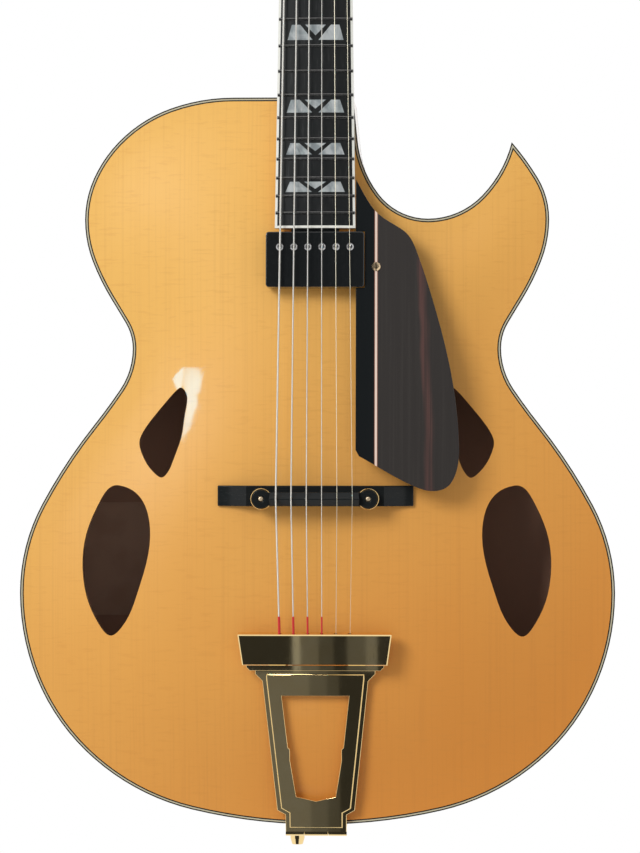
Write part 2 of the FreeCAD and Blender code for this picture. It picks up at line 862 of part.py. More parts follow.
def make_tail_bracket():
    half = s.frame_base_width / 2
    lower = OUTLINE.translated(Vector(0, 0, -float(s.bracket_thickness)))
    shell = prism(lower, 0, s.bracket_depth)
    shell = shell.cut(prism(OUTLINE, 0, s.bracket_depth))
    bracket = shell.common(box(-half, half, -LARGE, LARGE, -LARGE, TAIL_Z + s.tail_block_length))
    tongue = s.middle_knuckle / 2 - s.knuckle_gap
    web = box(-tongue, tongue, HINGE.y, EDGE_Y + s.knuckle_radius, HINGE.z, TAIL_Z - s.bracket_thickness / 2)
    web = web.cut(prism(OUTLINE, 0, s.bracket_depth))
    side = Vector(float(tongue), 0, 0)
    bracket = bracket.fuse([web, rod(HINGE - side, HINGE + side, s.knuckle_radius)])
    bracket = bracket.cut(rod(HINGE - side * 2, HINGE + side * 2, s.hinge_pin_radius))
    bracket = bracket.cut(jack_hole(s.jack_barrel))
    for screw in bracket_screw_places():
        through = Z_AXIS * float(s.bracket_screw_length)
        bracket = bracket.cut(rod(screw - through, screw + through, s.bracket_screw_shank))
    feature("tail_bracket", bracket.removeSplitter())
    pin = doc.addObject("Part::Cylinder", "hinge_pin")
    pin.Label = "hinge_pin"
    bind(pin, Radius=s.hinge_pin_radius, Height=s.frame_base_width)
    turned = Rotation(Y_AXIS, 90)
    pin.Placement = Placement(HINGE - Vector(float(s.frame_base_width / 2), 0, 0), turned)
    nodes.append(pin)


def screw_body(label, head, shank, length, slot_depth):
    """A slotted round-head screw along Z, its head below Z = 0 and its shank above."""
    body = start_body(label, node=False)
    crown = head * 0.6
    outline = [(0, -crown), (head * 0.62, -crown), (head, -crown * 0.35), (head, 0), (shank, 0),
               (shank, length - shank), (0, length)]
    revolve(body, polygon_sketch(body, "XZ_Plane", outline))
    half = head * 0.12
    floor = slot_depth - crown
    slot = [(-half, -crown - half), (half, -crown - half), (half, floor), (-half, floor)]
    pocket(body, polygon_sketch(body, "XZ_Plane", slot), 3 * head, centred=True)
    return body


def copies(label, body, placements):
    feature(label, Part.makeCompound([body.Shape.transformed(place.toMatrix()) for place in placements]))


def make_tail_screws():
    screw = screw_body("bracket_screw", s.bracket_screw_head, s.bracket_screw_shank,
                       s.bracket_screw_length, s.bracket_screw_head * 0.3)
    copies("bracket_screws", screw, [Placement(at, Rotation()) for at in bracket_screw_places()])


def make_jack():
    """Turned end-pin jack: flange on the bracket, domed nose below, barrel up through the tail block."""
    place = Placement(Vector(-float(s.jack_side), float(EDGE_Y + s.jack_depth), 0), Rotation())
    body = start_body("endpin_jack", place)
    seat = s.jack_reach - s.bracket_thickness
    flange = seat - s.jack_radius * 0.3
    outline = [(s.jack_bore, 0), (s.jack_tip_radius, 0), (s.jack_nose_radius, flange * 0.3),
               (s.jack_nose_radius, flange), (s.jack_radius, flange), (s.jack_radius, seat),
               (s.jack_barrel, seat), (s.jack_barrel, seat + s.jack_barrel_length),
               (s.jack_bore, seat + s.jack_barrel_length)]
    revolve(body, polygon_sketch(body, "XZ_Plane", outline))


# Neck, in a frame with its origin on the fingerboard surface at the body joint

def board_width(z):
    share = (NUT_AT - z) / (NUT_AT + float(OVERHANG))
    return float(s.nut_width) + float(s.board_end_width - s.nut_width) * share


HEAD = NECK.multiply(Placement(Vector(0, float(s.head_drop), NUT_AT + float(s.nut_length)),
                               Rotation(X_AXIS, -float(s.head_angle))))
SECTION_POINTS = 13
HEEL_STATIONS = ((-0.25, 1.0), (0.26, 0.93), (0.42, 0.62), (0.58, 0.33), (0.78, 0.12), (1.0, 0.0))


def neck_section(z, depth):
    points = []
    for n in range(SECTION_POINTS):
        angle = math.pi * n / (SECTION_POINTS - 1)
        out = board_width(z) / 2 * math.cos(angle)
        points.append(Vector(out, float(s.board_thickness) + depth * math.sin(angle), z))
    curve = Part.BSplineCurve()
    curve.interpolate(points)
    flat = Part.LineSegment(points[-1], points[0]).toShape()
    return Part.Wire([curve.toShape(), flat])


def board_slab(half_inset, y0, y1, z0, z1):
    """A tapered slab that follows the sides of the fingerboard."""
    corners = []
    for z, side in ((z0, -1), (z1, -1), (z1, 1), (z0, 1)):
        corners.append(Vector(side * (board_width(z) / 2 - half_inset), y0, z))
    return Part.Face(Part.makePolygon(corners + corners[:1])).extrude(Vector(0, y1 - y0, 0))


def heel_shape():
    total = float(BACK_EDGE + s.board_rise) / math.cos(math.radians(s.neck_angle)) - float(s.board_thickness)
    deepest = total / math.sqrt(1 - (float(s.heel_cap_width) / board_width(0)) ** 2)
    sections = []
    for along, share in HEEL_STATIONS:
        depth = float(s.neck_depth_body) + (deepest - float(s.neck_depth_body)) * share
        sections.append(neck_section(along * float(s.heel_length), depth))
    heel = Part.makeLoft(sections, True, False).transformed(NECK.toMatrix())
    return heel.cut(box(-LARGE, LARGE, -LARGE, LARGE, -LARGE, TOP_Z))


def head_half(z):
    share = (z - float(s.head_flare)) / float(s.head_length - s.head_crown - s.head_flare)
    return float(s.head_neck_width) / 2 + float(s.head_width - s.head_neck_width) / 2 * share


def head_plate(y0, y1):
    """The headstock outline between two depths below its face, in the headstock frame."""
    side_top = float(s.head_length - s.head_crown)
    right = [Vector(float(s.nut_width) / 2, y0, 0),
             Vector(float(s.head_neck_width) / 2, y0, float(s.head_flare)),
             Vector(float(s.head_width) / 2, y0, side_top)]
    left = [Vector(-p.x, p.y, p.z) for p in reversed(right)]
    edges = [Part.LineSegment(a, b).toShape() for a, b in zip(right, right[1:])]
    edges.append(Part.Arc(right[-1], Vector(0, y0, float(s.head_length)), left[0]).toShape())
    edges += [Part.LineSegment(a, b).toShape() for a, b in zip(left, left[1:])]
    edges.append(Part.LineSegment(left[-1], right[0]).toShape())
    return Part.Face(Part.Wire(edges)).extrude(Vector(0, y1 - y0, 0))


def tuner_places():
    """Post centres across and along the headstock, first to sixth string."""
    places = []
    for string in range(STRING_COUNT):
        along = float(s.tuner_first + s.tuner_step * (string if string < 3 else STRING_COUNT - 1 - string))
        side = 1 if string < 3 else -1
        places.append((side * (head_half(along) - float(s.tuner_inset)), along))
    return places


def bushing_hole(x, z):
    return Part.makeCylinder(float(s.bushing_radius), LARGE, Vector(x, -LARGE / 2, z), Y_AXIS)


def rod_bore(radius):
    y = float(s.board_thickness + s.rod_depth)
    end = NUT_AT + float(s.nut_length) + ROD_OUT
    return rod(Vector(0, y, float(s.heel_length) / 4), Vector(0, y, end), radius)


ROD_OUT = float(s.rod_pocket_length) * 0.42
HEAD_BACK = s.overlay_thickness + s.head_thickness


def rod_pocket():
    half = s.rod_pocket_width / 2
    return box(-half, half, -s.cover_thickness, s.overlay_thickness + s.rod_pocket_depth,
               s.cover_thickness, s.rod_pocket_length)


def make_neck():
    top = float(s.board_thickness)
    nut_end = NUT_AT + float(s.nut_length)
    heel = heel_shape()
    cap_space = box(-LARGE, LARGE, EDGE_Y + BACK_EDGE - s.heel_cap_thickness, EDGE_Y + BACK_EDGE, -LARGE, LARGE)
    beyond = box(-LARGE, LARGE, EDGE_Y + BACK_EDGE - s.heel_cap_thickness, LARGE, -LARGE, LARGE)
    feature("heel_cap", heel.common(cap_space))
    start = float(s.heel_length)
    shaft = Part.makeLoft([neck_section(start, float(s.neck_depth_body)),
                           neck_section(nut_end, float(s.neck_depth_nut))], True, True)
    tongue = board_slab(float(s.tongue_inset), top, top + float(s.tongue_thickness),
                        -float(OVERHANG), float(s.heel_length) / 4)
    plate = head_plate(float(s.overlay_thickness), float(HEAD_BACK))
    for x, z in tuner_places():
        plate = plate.cut(bushing_hole(x, z))
    deep = Y_AXIS * float(s.head_screw_length)
    for place in cover_screw_places():
        plate = plate.cut(rod(place, place + deep, s.head_screw_shank))
    for place in tuner_screw_places():
        plate = plate.cut(rod(place - deep, place, s.head_screw_shank))
    plate = plate.cut(rod_pocket())
    neck = shaft.fuse([tongue, plate.transformed(HEAD.inverse().multiply(NECK).inverse().toMatrix())])
    above = box(-LARGE, LARGE, -LARGE, top, -LARGE, nut_end)
    neck = neck.cut(above)
    neck = neck.transformed(NECK.toMatrix()).fuse([heel.cut(beyond), TENON])
    neck = neck.cut(rod_bore(s.rod_radius + s.rod_clearance).transformed(NECK.toMatrix()))
    neck = neck.cut(rod_pocket().transformed(HEAD.toMatrix()))
    feature("neck", neck.removeSplitter())
    feature("truss_rod", rod_bore(s.rod_radius), NECK)


# Fingerboard, frets, inlays and nut, in the neck frame

def crown_barrel(radius):
    """A long round bar whose surface is the crowned face of the fingerboard."""
    return Part.makeCylinder(float(radius), 2 * LARGE, Vector(0, float(s.board_radius), -LARGE), Z_AXIS)


def inlay_shapes():
    shapes = []
    core = crown_barrel(s.board_radius - s.inlay_depth)
    face = crown_barrel(s.board_radius)
    for fret in INLAY_FRETS:
        high = NUT_AT - from_nut(fret - 1)
        low = NUT_AT - from_nut(fret)
        middle = (high + low) / 2
        tall = float(s.inlay_tall_share) * (high - low) / 2
        wide = float(s.inlay_foot_share) * board_width(low) / 2
        narrow = float(s.inlay_head_share) * board_width(high) / 2
        point = float(s.inlay_wedge_share) * narrow
        shoulder = point + float(s.inlay_band_share) * narrow
        tip = float(s.inlay_tip_share) * wide
        left = [(-narrow, tall), (-shoulder, tall), (-tip, -tall), (-wide, -tall)]
        right = [(-x, z) for x, z in left]
        wedge = [(-point, tall), (point, tall), (0, tall - 2 * tall * float(s.inlay_wedge_depth))]
        for outline in (left, right, wedge):
            corners = [Vector(x, -float(s.fret_height), middle + z) for x, z in outline]
            blank = Part.Face(Part.makePolygon(corners + corners[:1]))
            blank = blank.extrude(Vector(0, float(s.board_thickness), 0))
            shapes.append(blank.common(face).cut(core))
    return shapes


def make_fingerboard():
    low = -float(OVERHANG)
    edge = float(s.board_binding)
    face = crown_barrel(s.board_radius)
    whole = board_slab(0, -1, float(s.board_thickness), low, NUT_AT).common(face)
    core_space = board_slab(edge, -1, float(s.board_thickness), low + edge, NUT_AT)
    inlays = inlay_shapes()
    core = whole.common(core_space)
    for inlay in inlays:
        core = core.cut(inlay)
    feature("fingerboard", core, NECK)
    feature("fingerboard_binding", whole.cut(core_space), NECK)
    feature("inlays", Part.makeCompound(inlays), NECK)


def make_frets():
    axis = Vector(0, float(s.board_radius), 0)
    half = float(s.fret_width) / 2
    wires = []
    for fret in range(1, FRET_COUNT + 1):
        z = NUT_AT - from_nut(fret)
        turn = math.degrees((board_width(z) - float(s.board_binding) / 2) / float(s.board_radius))
        start = Vector(0, 0, z - half)
        end = Vector(0, 0, z + half)
        crown = Part.Arc(start, Vector(0, -float(s.fret_height), z), end).toShape()
        bead = Part.Face(Part.Wire([crown, Part.LineSegment(end, start).toShape()]))
        bead.rotate(axis, Z_AXIS, -turn / 2)
        wires.append(bead.revolve(axis, Z_AXIS, turn))
    feature("frets", Part.makeCompound(wires), NECK)


def crown_drop(x):
    return x * x / (2 * float(s.board_radius))


def make_nut():
    place = NECK.multiply(Placement(Vector(0, 0, NUT_AT), Rotation()))
    body = start_body("nut", place)
    half = s.nut_width / 2
    top = -s.nut_rise - s.string_6_diameter / 2
    block = [(-half, s.board_thickness), (half, s.board_thickness), (half, top), (-half, top)]
    pad(body, polygon_sketch(body, "XY_Plane", block), s.nut_length)
    slots = []
    for x in repeat_x(s.string_spread_nut):
        floor = -s.nut_rise + crown_drop(float(x)) + s.string_clearance * 6
        left = x - s.nut_slot_width / 2
        right = x + s.nut_slot_width / 2
        slots.append([(left, floor), (right, floor), (right, top * 1.5), (left, top * 1.5)])
    pocket(body, polygon_sketch(body, "XY_Plane", *slots), backwards=True)


# Headstock overlay, truss rod cover and tuning machines, in the headstock frame

def make_overlay():
    overlay = head_plate(0, float(s.overlay_thickness)).cut(rod_pocket())
    for x, z in tuner_places():
        overlay = overlay.cut(bushing_hole(x, z))
    for place in cover_screw_places():
        overlay = overlay.cut(rod(place, place + Y_AXIS * float(s.head_screw_length), s.head_screw_shank))
    overlay = overlay.transformed(HEAD.toMatrix())
    below_nut_end = box(-LARGE, LARGE, -LARGE, LARGE, -LARGE, NUT_AT + s.nut_length)
    feature("headstock_overlay", overlay.cut(below_nut_end.transformed(NECK.toMatrix())))


def cover_screw_places():
    edge = float(s.cover_width) * 0.36
    low = float(s.cover_thickness) * 2
    high = float(s.cover_length) - low
    face = -float(s.cover_thickness)
    return [Vector(-edge, face, low), Vector(edge, face, low), Vector(0, face, high)]


def make_rod_cover():
    body = start_body("truss_rod_cover", HEAD)
    half = s.cover_width / 2
    shape = [(-half, s.cover_thickness / 4), (half, s.cover_thickness / 4), (half, s.cover_length * 0.3),
             (half * 0.35, s.cover_length), (-half * 0.35, s.cover_length), (-half, s.cover_length * 0.3)]
    pad(body, polygon_sketch(body, "XZ_Plane", shape), s.cover_thickness)
    holes = [(p.x, p.z, s.head_screw_shank) for p in cover_screw_places()]
    pocket(body, circle_sketch(body, "XZ_Plane", *holes), 4 * s.cover_thickness, centred=True)


def housing_body():
    """One closed gear housing: origin on the post axis at the back of the headstock, +X outwards."""
    body = start_body("tuner_housing", node=False)
    half_width = s.housing_width / 2
    half_length = s.housing_length / 2
    block = rectangle(half_width, half_length)
    pad(body, polygon_sketch(body, "XZ_Plane", block), s.housing_depth, backwards=True)
    soften(body, "Fillet", s.housing_round, lambda centre, along: centre.y > s.housing_depth * 0.4)
    tab_at = half_length + s.housing_tab * 0.5
    tab = circle_sketch(body, "XZ_Plane", (0, tab_at, s.housing_tab))
    pad(body, tab, s.housing_tab_thickness, backwards=True)
    hole = circle_sketch(body, "XZ_Plane", (0, tab_at + s.housing_tab * 0.2, s.head_screw_shank))
    pocket(body, hole, 4 * s.housing_tab_thickness, centred=True)
    post = circle_sketch(body, "XZ_Plane", (0, 0, s.post_radius + s.post_clearance))
    pocket(body, post, s.post_foot + s.post_clearance)
    bore = s.shaft_radius + s.shaft_clearance
    shaft = circle_sketch(body, "YZ_Plane", (s.housing_depth / 2, -s.worm_offset, bore), offset=s.housing_width)
    pocket(body, shaft, s.housing_width * 1.3)
    return body


def make_tuners():
    places = tuner_places()
    back = float(HEAD_BACK)
    housing = housing_body()
    bushing = start_body("tuner_bushing", node=False)
    bore = s.post_radius + s.post_clearance
    sleeve = [(bore, -HEAD_BACK), (s.bushing_radius, -HEAD_BACK), (s.bushing_radius, 0),
              (s.bushing_flange, 0), (s.bushing_flange, s.bushing_rise * 0.5),
              (s.bushing_radius, s.bushing_rise), (bore, s.bushing_rise)]
    revolve(bushing, polygon_sketch(bushing, "XZ_Plane", sleeve))
    post = start_body("tuner_post", node=False)
    waist = s.post_radius - s.post_waist
    reach = s.post_reach
    foot = -HEAD_BACK - s.post_foot
    turned = [(0, foot), (s.post_radius, foot), (s.post_radius, reach * 0.38), (waist, reach * 0.48),
              (waist, reach * 0.74), (s.post_radius, reach * 0.84), (s.post_radius, reach * 0.96),
              (s.post_radius * 0.8, reach), (0, reach)]
    revolve(post, polygon_sketch(post, "XZ_Plane", turned))
    key = start_body("tuner_key", node=False)
    inner = -s.housing_width * 0.25
    neck_end = s.tuner_inset + s.button_gap
    collar = s.housing_width / 2 + s.shaft_clearance
    shaft = [(0, inner), (s.shaft_radius, inner), (s.shaft_radius, collar), (s.shaft_radius * 1.6, collar),
             (s.shaft_radius * 1.6, collar + s.shaft_radius), (s.shaft_radius, collar + s.shaft_radius * 1.5),
             (s.shaft_radius, neck_end), (s.shaft_radius, neck_end + s.button_length / 2),
             (0, neck_end + s.button_length / 2)]
    revolve(key, polygon_sketch(key, "XZ_Plane", shaft))
    half = s.button_width / 2
    low = neck_end
    high = neck_end + s.button_length
    ends = s.button_length * 0.32
    knob = [(-half * 0.45, low), (half * 0.45, low), (half, low + ends), (half, high - ends),
            (half * 0.45, high), (-half * 0.45, high), (-half, high - ends), (-half, low + ends)]
    pad(key, polygon_sketch(key, "XZ_Plane", knob), s.button_thickness, centred=True)
    soften(key, "Fillet", s.button_thickness * 0.22,
           lambda centre, along: abs(abs(centre.y) - s.button_thickness / 2) < 0.01)
    housings = []
    bushings = []
    for string, (x, z) in enumerate(places, start=1):
        side = 1 if x > 0 else -1
        seat = HEAD.multiply(Placement(Vector(x, back, z), Rotation()))
        shape = housing.Shape if side > 0 else housing.Shape.mirror(Vector(0, 0, 0), X_AXIS)
        housings.append(shape.transformed(seat.toMatrix()))
        outward = HEAD.multiply(Placement(Vector(x, 0, z), Rotation(X_AXIS, 90)))
        bushings.append(bushing.Shape.transformed(outward.toMatrix()))
        feature("tuner_post_%d" % string, post.Shape, outward)
        axle = Placement(Vector(x, back + float(s.housing_depth) / 2, z - float(s.worm_offset)),
                         Rotation(Y_AXIS, 90 * side))
        feature("tuner_key_%d" % string, key.Shape, HEAD.multiply(axle))
    feature("tuner_housings", Part.makeCompound(housings))
    feature("tuner_bushings", Part.makeCompound(bushings))


def tuner_screw_places():
    above = float(s.housing_length / 2 + s.housing_tab * 0.7)
    back = float(HEAD_BACK + s.housing_tab_thickness)
    return [Vector(x, back, z + above) for x, z in tuner_places()]


def make_head_screws():
    screw = screw_body("head_screw", s.head_screw_head, s.head_screw_shank, s.head_screw_length,
                       s.head_screw_head * 0.25)
    from_front = [Placement(at, Rotation(X_AXIS, -90)) for at in cover_screw_places()]
    from_back = [Placement(at, Rotation(X_AXIS, 90)) for at in tuner_screw_places()]
    copies("headstock_screws", screw, [HEAD.multiply(place) for place in from_front + from_back])


# Tailpiece, in a frame with its origin on the hinge axis

FRAME_FRONT = s.frame_back + s.frame_thickness
HOLE_OUT = FRAME_FRONT + s.bar_thickness / 2


def string_pull():
    """Lean at which the string holes of the tailpiece point at the crown of the saddle."""
    reach = CROWN - HINGE
    line = math.asin(float(HOLE_OUT) / math.hypot(reach.y, reach.z))
    return math.degrees(math.atan2(-reach.y, reach.z) - line)


TAIL = Placement(HINGE, Rotation(X_AXIS, string_pull()))


def both_sides(right):
    """A closed outline from its right half, given from bottom to top."""
    return list(right) + [(-x, z) for x, z in reversed(right) if x != 0]


def make_tailpiece():
    frame = start_body("tailpiece_frame", TAIL)
    top_out = s.frame_top_width / 2
    shoulder = s.frame_shoulder_width / 2
    foot = s.frame_foot_width / 2
    base = s.frame_base_width / 2
    flare = s.frame_shoulder_at + (top_out - shoulder)
    low = s.knuckle_radius / 2
    outer = both_sides([(base, low), (base, s.frame_base_at), (foot, s.frame_foot_at),
                        (shoulder, s.frame_shoulder_at), (top_out, flare), (top_out, s.bar_at + s.bar_overlap)])
    notch = s.window_notch_at - (s.window_notch_width - s.window_waist_width) / 2
    waist = s.window_waist_width / 2
    window = both_sides([(0, s.window_bottom_at - s.window_sag),
                         (s.window_bottom_width / 2, s.window_bottom_at),
                         (waist, s.window_waist_at), (waist, notch),
                         (s.window_notch_width / 2, s.window_notch_at),
                         (s.window_top_width / 2, s.window_top_at)])
    pad(frame, polygon_sketch(frame, "XZ_Plane", outer, window, offset=s.frame_back), s.frame_thickness)
    rim = s.panel_inset
    panel = both_sides([(base - rim, low + rim), (base - rim, s.frame_base_at + rim / 2),
                        (foot - rim, s.frame_foot_at + rim / 2),
                        (shoulder - rim, s.frame_shoulder_at + rim / 2),
                        (shoulder - rim, s.bar_at - s.lip_height - rim)])
    pad(frame, polygon_sketch(frame, "XZ_Plane", panel, window, offset=FRAME_FRONT), s.panel_thickness)
    barrel = circle_sketch(frame, "YZ_Plane", (0, 0, s.knuckle_radius))
    pad(frame, barrel, s.frame_base_width, centred=True)
    room = circle_sketch(frame, "YZ_Plane", (0, 0, s.knuckle_radius + s.knuckle_gap))
    pocket(frame, room, s.middle_knuckle, centred=True)
    bore = circle_sketch(frame, "YZ_Plane", (0, 0, s.hinge_pin_radius + s.pin_clearance))
    pocket(frame, bore, 2 * s.frame_base_width, centred=True)

    bar = start_body("tailpiece_bar", TAIL)
    high = s.bar_at + s.bar_height
    face = both_sides([(s.bar_bottom_width / 2, s.bar_at), (s.bar_top_width / 2, high)])
    pad(bar, polygon_sketch(bar, "XZ_Plane", face, offset=FRAME_FRONT), s.bar_thickness)
    soften(bar, "Chamfer", s.bar_bevel, lambda centre, along: centre.y < -FRAME_FRONT - s.bar_thickness * 0.9)
    low = s.bar_at - s.lip_height
    lip = both_sides([(s.lip_width / 2 - s.lip_height / 2, low), (s.lip_width / 2, low + s.lip_height / 2),
                      (s.lip_width / 2, s.bar_at)])
    pad(bar, polygon_sketch(bar, "XZ_Plane", lip, offset=FRAME_FRONT), s.lip_thickness)
    across = repeat_x(s.tail_string_spread)
    holes = [(x, -HOLE_OUT, s.bar_hole_radius) for x in across]
    pocket(bar, circle_sketch(bar, "XY_Plane", *holes, offset=high + s.bar_bevel), 2 * s.bar_height)
    seats = [(x, -HOLE_OUT, s.ball_radius + s.ball_clearance) for x in across]
    pocket(bar, circle_sketch(bar, "XY_Plane", *seats, offset=s.bar_at - s.lip_height),
           s.ball_pocket + s.lip_height, backwards=True)


# Bridge: base, posts, thumbwheels and saddle

BRIDGE_TOP = EDGE_Y - top_height(0, CROWN.z)
BASE_FACE = BRIDGE_TOP - s.base_height
WHEEL_SEAT = BASE_FACE - s.wheel_gap
SADDLE_SEAT = WHEEL_SEAT - s.wheel_thickness - s.saddle_seat


def bridge_post_places():
    return [Vector(float(side * s.post_spacing / 2), 0, CROWN.z) for side in (-1, 1)]


def make_bridge():
    middle = CROWN.z + float(s.base_offset)
    start = middle - float(s.base_width) / 2
    tip = float(EDGE_Y) - top_height(float(s.base_length) / 2, middle) - float(s.base_tip)
    deep = float(BRIDGE_TOP + s.top_arch)
    flat = float(s.base_flat) / 2
    end = float(s.base_length) / 2
    scoop = Vector((flat + end) / 2, (float(BASE_FACE) + tip) / 2 + float(s.base_tip) * 0.4, start)
    right = [Vector(flat, float(BASE_FACE), start), scoop, Vector(end, tip, start)]
    left = [Vector(-p.x, p.y, p.z) for p in right]
    low_right = Vector(end, deep, start)
    low_left = Vector(-end, deep, start)
    edges = [Part.Arc(*right).toShape(), Part.LineSegment(right[2], low_right).toShape(),
             Part.LineSegment(low_right, low_left).toShape(), Part.LineSegment(low_left, left[2]).toShape(),
             Part.Arc(left[2], left[1], left[0]).toShape(), Part.LineSegment(left[0], right[0]).toShape()]
    base = Part.Face(Part.Wire(edges)).extrude(Vector(0, 0, float(s.base_width))).cut(UNDER_TOP)
    posts = []
    foot = float(BASE_FACE) + float(s.base_height) * 0.6
    tip_y = float(SADDLE_SEAT - s.saddle_ear * 0.9)
    for place in bridge_post_places():
        post = rod(Vector(place.x, foot, place.z), Vector(place.x, tip_y, place.z), s.bridge_post_radius)
        base = base.cut(post)
        posts.append(post)
    feature("bridge_base", base)
    feature("bridge_posts", Part.makeCompound(posts))

    wheel = start_body("thumbwheel", node=False)
    pad(wheel, circle_sketch(wheel, "XZ_Plane", (0, 0, s.wheel_radius)), s.wheel_thickness)
    pocket(wheel, circle_sketch(wheel, "XZ_Plane", (0, 0, s.bridge_post_radius + s.wheel_clearance)),
           4 * s.wheel_thickness, centred=True)
    soften(wheel, "Chamfer", s.wheel_thickness * 0.15,
           lambda centre, along: along.Length < 0.01
           and abs(centre.y + s.wheel_thickness / 2) > s.wheel_thickness * 0.4)
    for name, place in zip(("thumbwheel_bass", "thumbwheel_treble"), bridge_post_places()):
        feature(name, wheel.Shape, Placement(Vector(place.x, float(WHEEL_SEAT), place.z), Rotation()))

    saddle = start_body("bridge_saddle", Placement(Vector(0, float(SADDLE_SEAT), CROWN.z), Rotation()))
    half = s.saddle_width / 2
    out = s.post_spacing / 2
    pad(saddle, polygon_sketch(saddle, "XZ_Plane", rectangle(out, half)), s.saddle_ear)
    ears = [(side * out, 0, s.saddle_end_radius) for side in (-1, 1)]
    pad(saddle, circle_sketch(saddle, "XZ_Plane", *ears), s.saddle_ear)
    tall = float(SADDLE_SEAT) - CROWN.y - float(s.crown_clearance)
    ridge = half - s.crest_bevel
    shoulder = s.crest_bevel - tall
    roof = [(-s.saddle_ear / 2, -half), (-s.saddle_ear / 2, half), (shoulder, half), (-tall, ridge),
            (-tall, -ridge), (shoulder, -half)]
    crest = polygon_sketch(saddle, "YZ_Plane", roof)
    axis_at = s.board_radius - tall
    axis = crest.addGeometry(Part.LineSegment(Vector(axis_at, -half, 0), Vector(axis_at, half, 0)), True)
    pin_point(crest, axis, 1, axis_at, -half)
    pin_point(crest, axis, 2, axis_at, half)
    revolve(saddle, crest, "Axis0", s.crest_length / s.board_radius * (180 / math.pi))
    holes = [(side * out, 0, s.bridge_post_radius + s.saddle_hole_clearance) for side in (-1, 1)]
    pocket(saddle, circle_sketch(saddle, "XZ_Plane", *holes), 4 * s.saddle_ear, centred=True)


# Floating pickup, in the neck frame

PICKUP_AT = -float(OVERHANG + s.pickup_gap + s.pickup_height / 2)
PICKUP = NECK.multiply(Placement(Vector(0, -float(s.pickup_rise), PICKUP_AT), Rotation()))


def make_pickup():
    cover = start_body("pickup_cover", PICKUP)
    half_width = s.pickup_width / 2
    half_height = s.pickup_height / 2
    outline = rectangle(half_width, half_height)
    pad(cover, polygon_sketch(cover, "XZ_Plane", outline), s.pickup_depth, backwards=True)
    soften(cover, "Fillet", s.pickup_corner, lambda centre, along: abs(along.y) > s.pickup_depth * 0.9)
    soften(cover, "Fillet", s.pickup_edge_round, lambda centre, along: abs(centre.y) < 0.01)
    wall = s.pickup_wall
    inside_space = rectangle(half_width - wall, half_height - wall)
    room = polygon_sketch(cover, "XZ_Plane", inside_space, offset=-s.pickup_depth)
    pocket(cover, room, s.pickup_depth - wall, backwards=True)
    pole_z = half_height - s.pole_row
    poles = [(x, pole_z, s.pole_shank) for x in repeat_x(s.pole_spread)]
    pocket(cover, circle_sketch(cover, "XZ_Plane", *poles), 4 * wall, centred=True)

    slack = s.inner_clearance
    coil_depth = s.pickup_depth - wall - s.base_plate - s.magnet_depth - 2 * slack
    coils = []
    for name, middle in (("pole_coil", pole_z), ("plain_coil", -pole_z)):
        coil = start_body(name, PICKUP, node=False)
        outline = rectangle(s.coil_width / 2, s.coil_height / 2, middle)
        pad(coil, polygon_sketch(coil, "XZ_Plane", outline, offset=-wall - slack), coil_depth, backwards=True)
        soften(coil, "Fillet", s.coil_height * 0.45, lambda centre, along: abs(along.y) > coil_depth * 0.9)
        if name == "pole_coil":
            pocket(coil, circle_sketch(coil, "XZ_Plane", *poles), 4 * s.pickup_depth, centred=True)
        coils.append(coil.Shape)
    feature("pickup_coils", Part.makeCompound(coils))

    magnet = start_body("pickup_magnet", PICKUP)
    outline = rectangle(s.magnet_width / 2, s.magnet_height / 2)
    deep = wall + slack + coil_depth
    pad(magnet, polygon_sketch(magnet, "XZ_Plane", outline, offset=-deep), s.magnet_depth, backwards=True)

    plate = start_body("pickup_base_plate", PICKUP)
    outline = rectangle(half_width - wall - slack, half_height - wall - slack)
    face = polygon_sketch(plate, "XZ_Plane", outline, offset=-(s.pickup_depth - s.base_plate))
    pad(plate, face, s.base_plate, backwards=True)

    screw = screw_body("pole_screw", s.pole_radius, s.pole_shank, wall + coil_depth, s.pole_radius * 0.3)
    inwards = Rotation(X_AXIS, -90)
    places = [Placement(Vector(float(x), 0, float(pole_z)), inwards) for x in repeat_x(s.pole_spread)]
    copies("pickup_pole_screws", screw, [PICKUP.multiply(place) for place in places])

    rail = start_body("pickup_rail", NECK)
    low = -OVERHANG - s.pickup_gap
    outline = [(-s.rail_width / 2, low), (s.rail_width / 2, low), (s.rail_width / 2, -OVERHANG),
               (-s.rail_width / 2, -OVERHANG)]
    under_board = -s.board_thickness - slack
    pad(rail, polygon_sketch(rail, "XZ_Plane", outline, offset=under_board), s.rail_depth, backwards=True)


# Pickguard, in the neck frame

# Outline as shares of its reach from the strings outwards and of its length from top to bottom
GUARD_CURVE = [(0.0, 0.0), (0.116, 0.069), (0.2, 0.106), (0.365, 0.145), (0.506, 0.179), (0.59, 0.232),
               (0.732, 0.373), (0.917, 0.612), (1.0, 0.842), (0.974, 0.939), (0.882, 0.988), (0.725, 1.0),
               (0.561, 0.984), (0.219, 0.924), (0.033, 0.889)]
GUARD_CORNER = 0.869
GUARD_FOOT = (0.68, 0.80)


def guard_point(out, down):
    length = float(s.scale_length) - NUT_AT - float(s.guard_bridge_gap + s.guard_top)
    x = float(s.guard_inner) + float(s.guard_reach - s.guard_inner) * out
    return Vector(x, float(s.guard_drop), -float(s.guard_top) - length * down)


def standoff(place):
    """A turned wooden foot from under the pickguard down to the arched top."""
    start = NECK.multVec(place + Y_AXIS * float(s.guard_thickness))
    end = NECK.multVec(place + Y_AXIS * float(s.guard_thickness + s.top_arch * 2))
    return rod(start, end, s.standoff_radius).cut(UNDER_TOP)


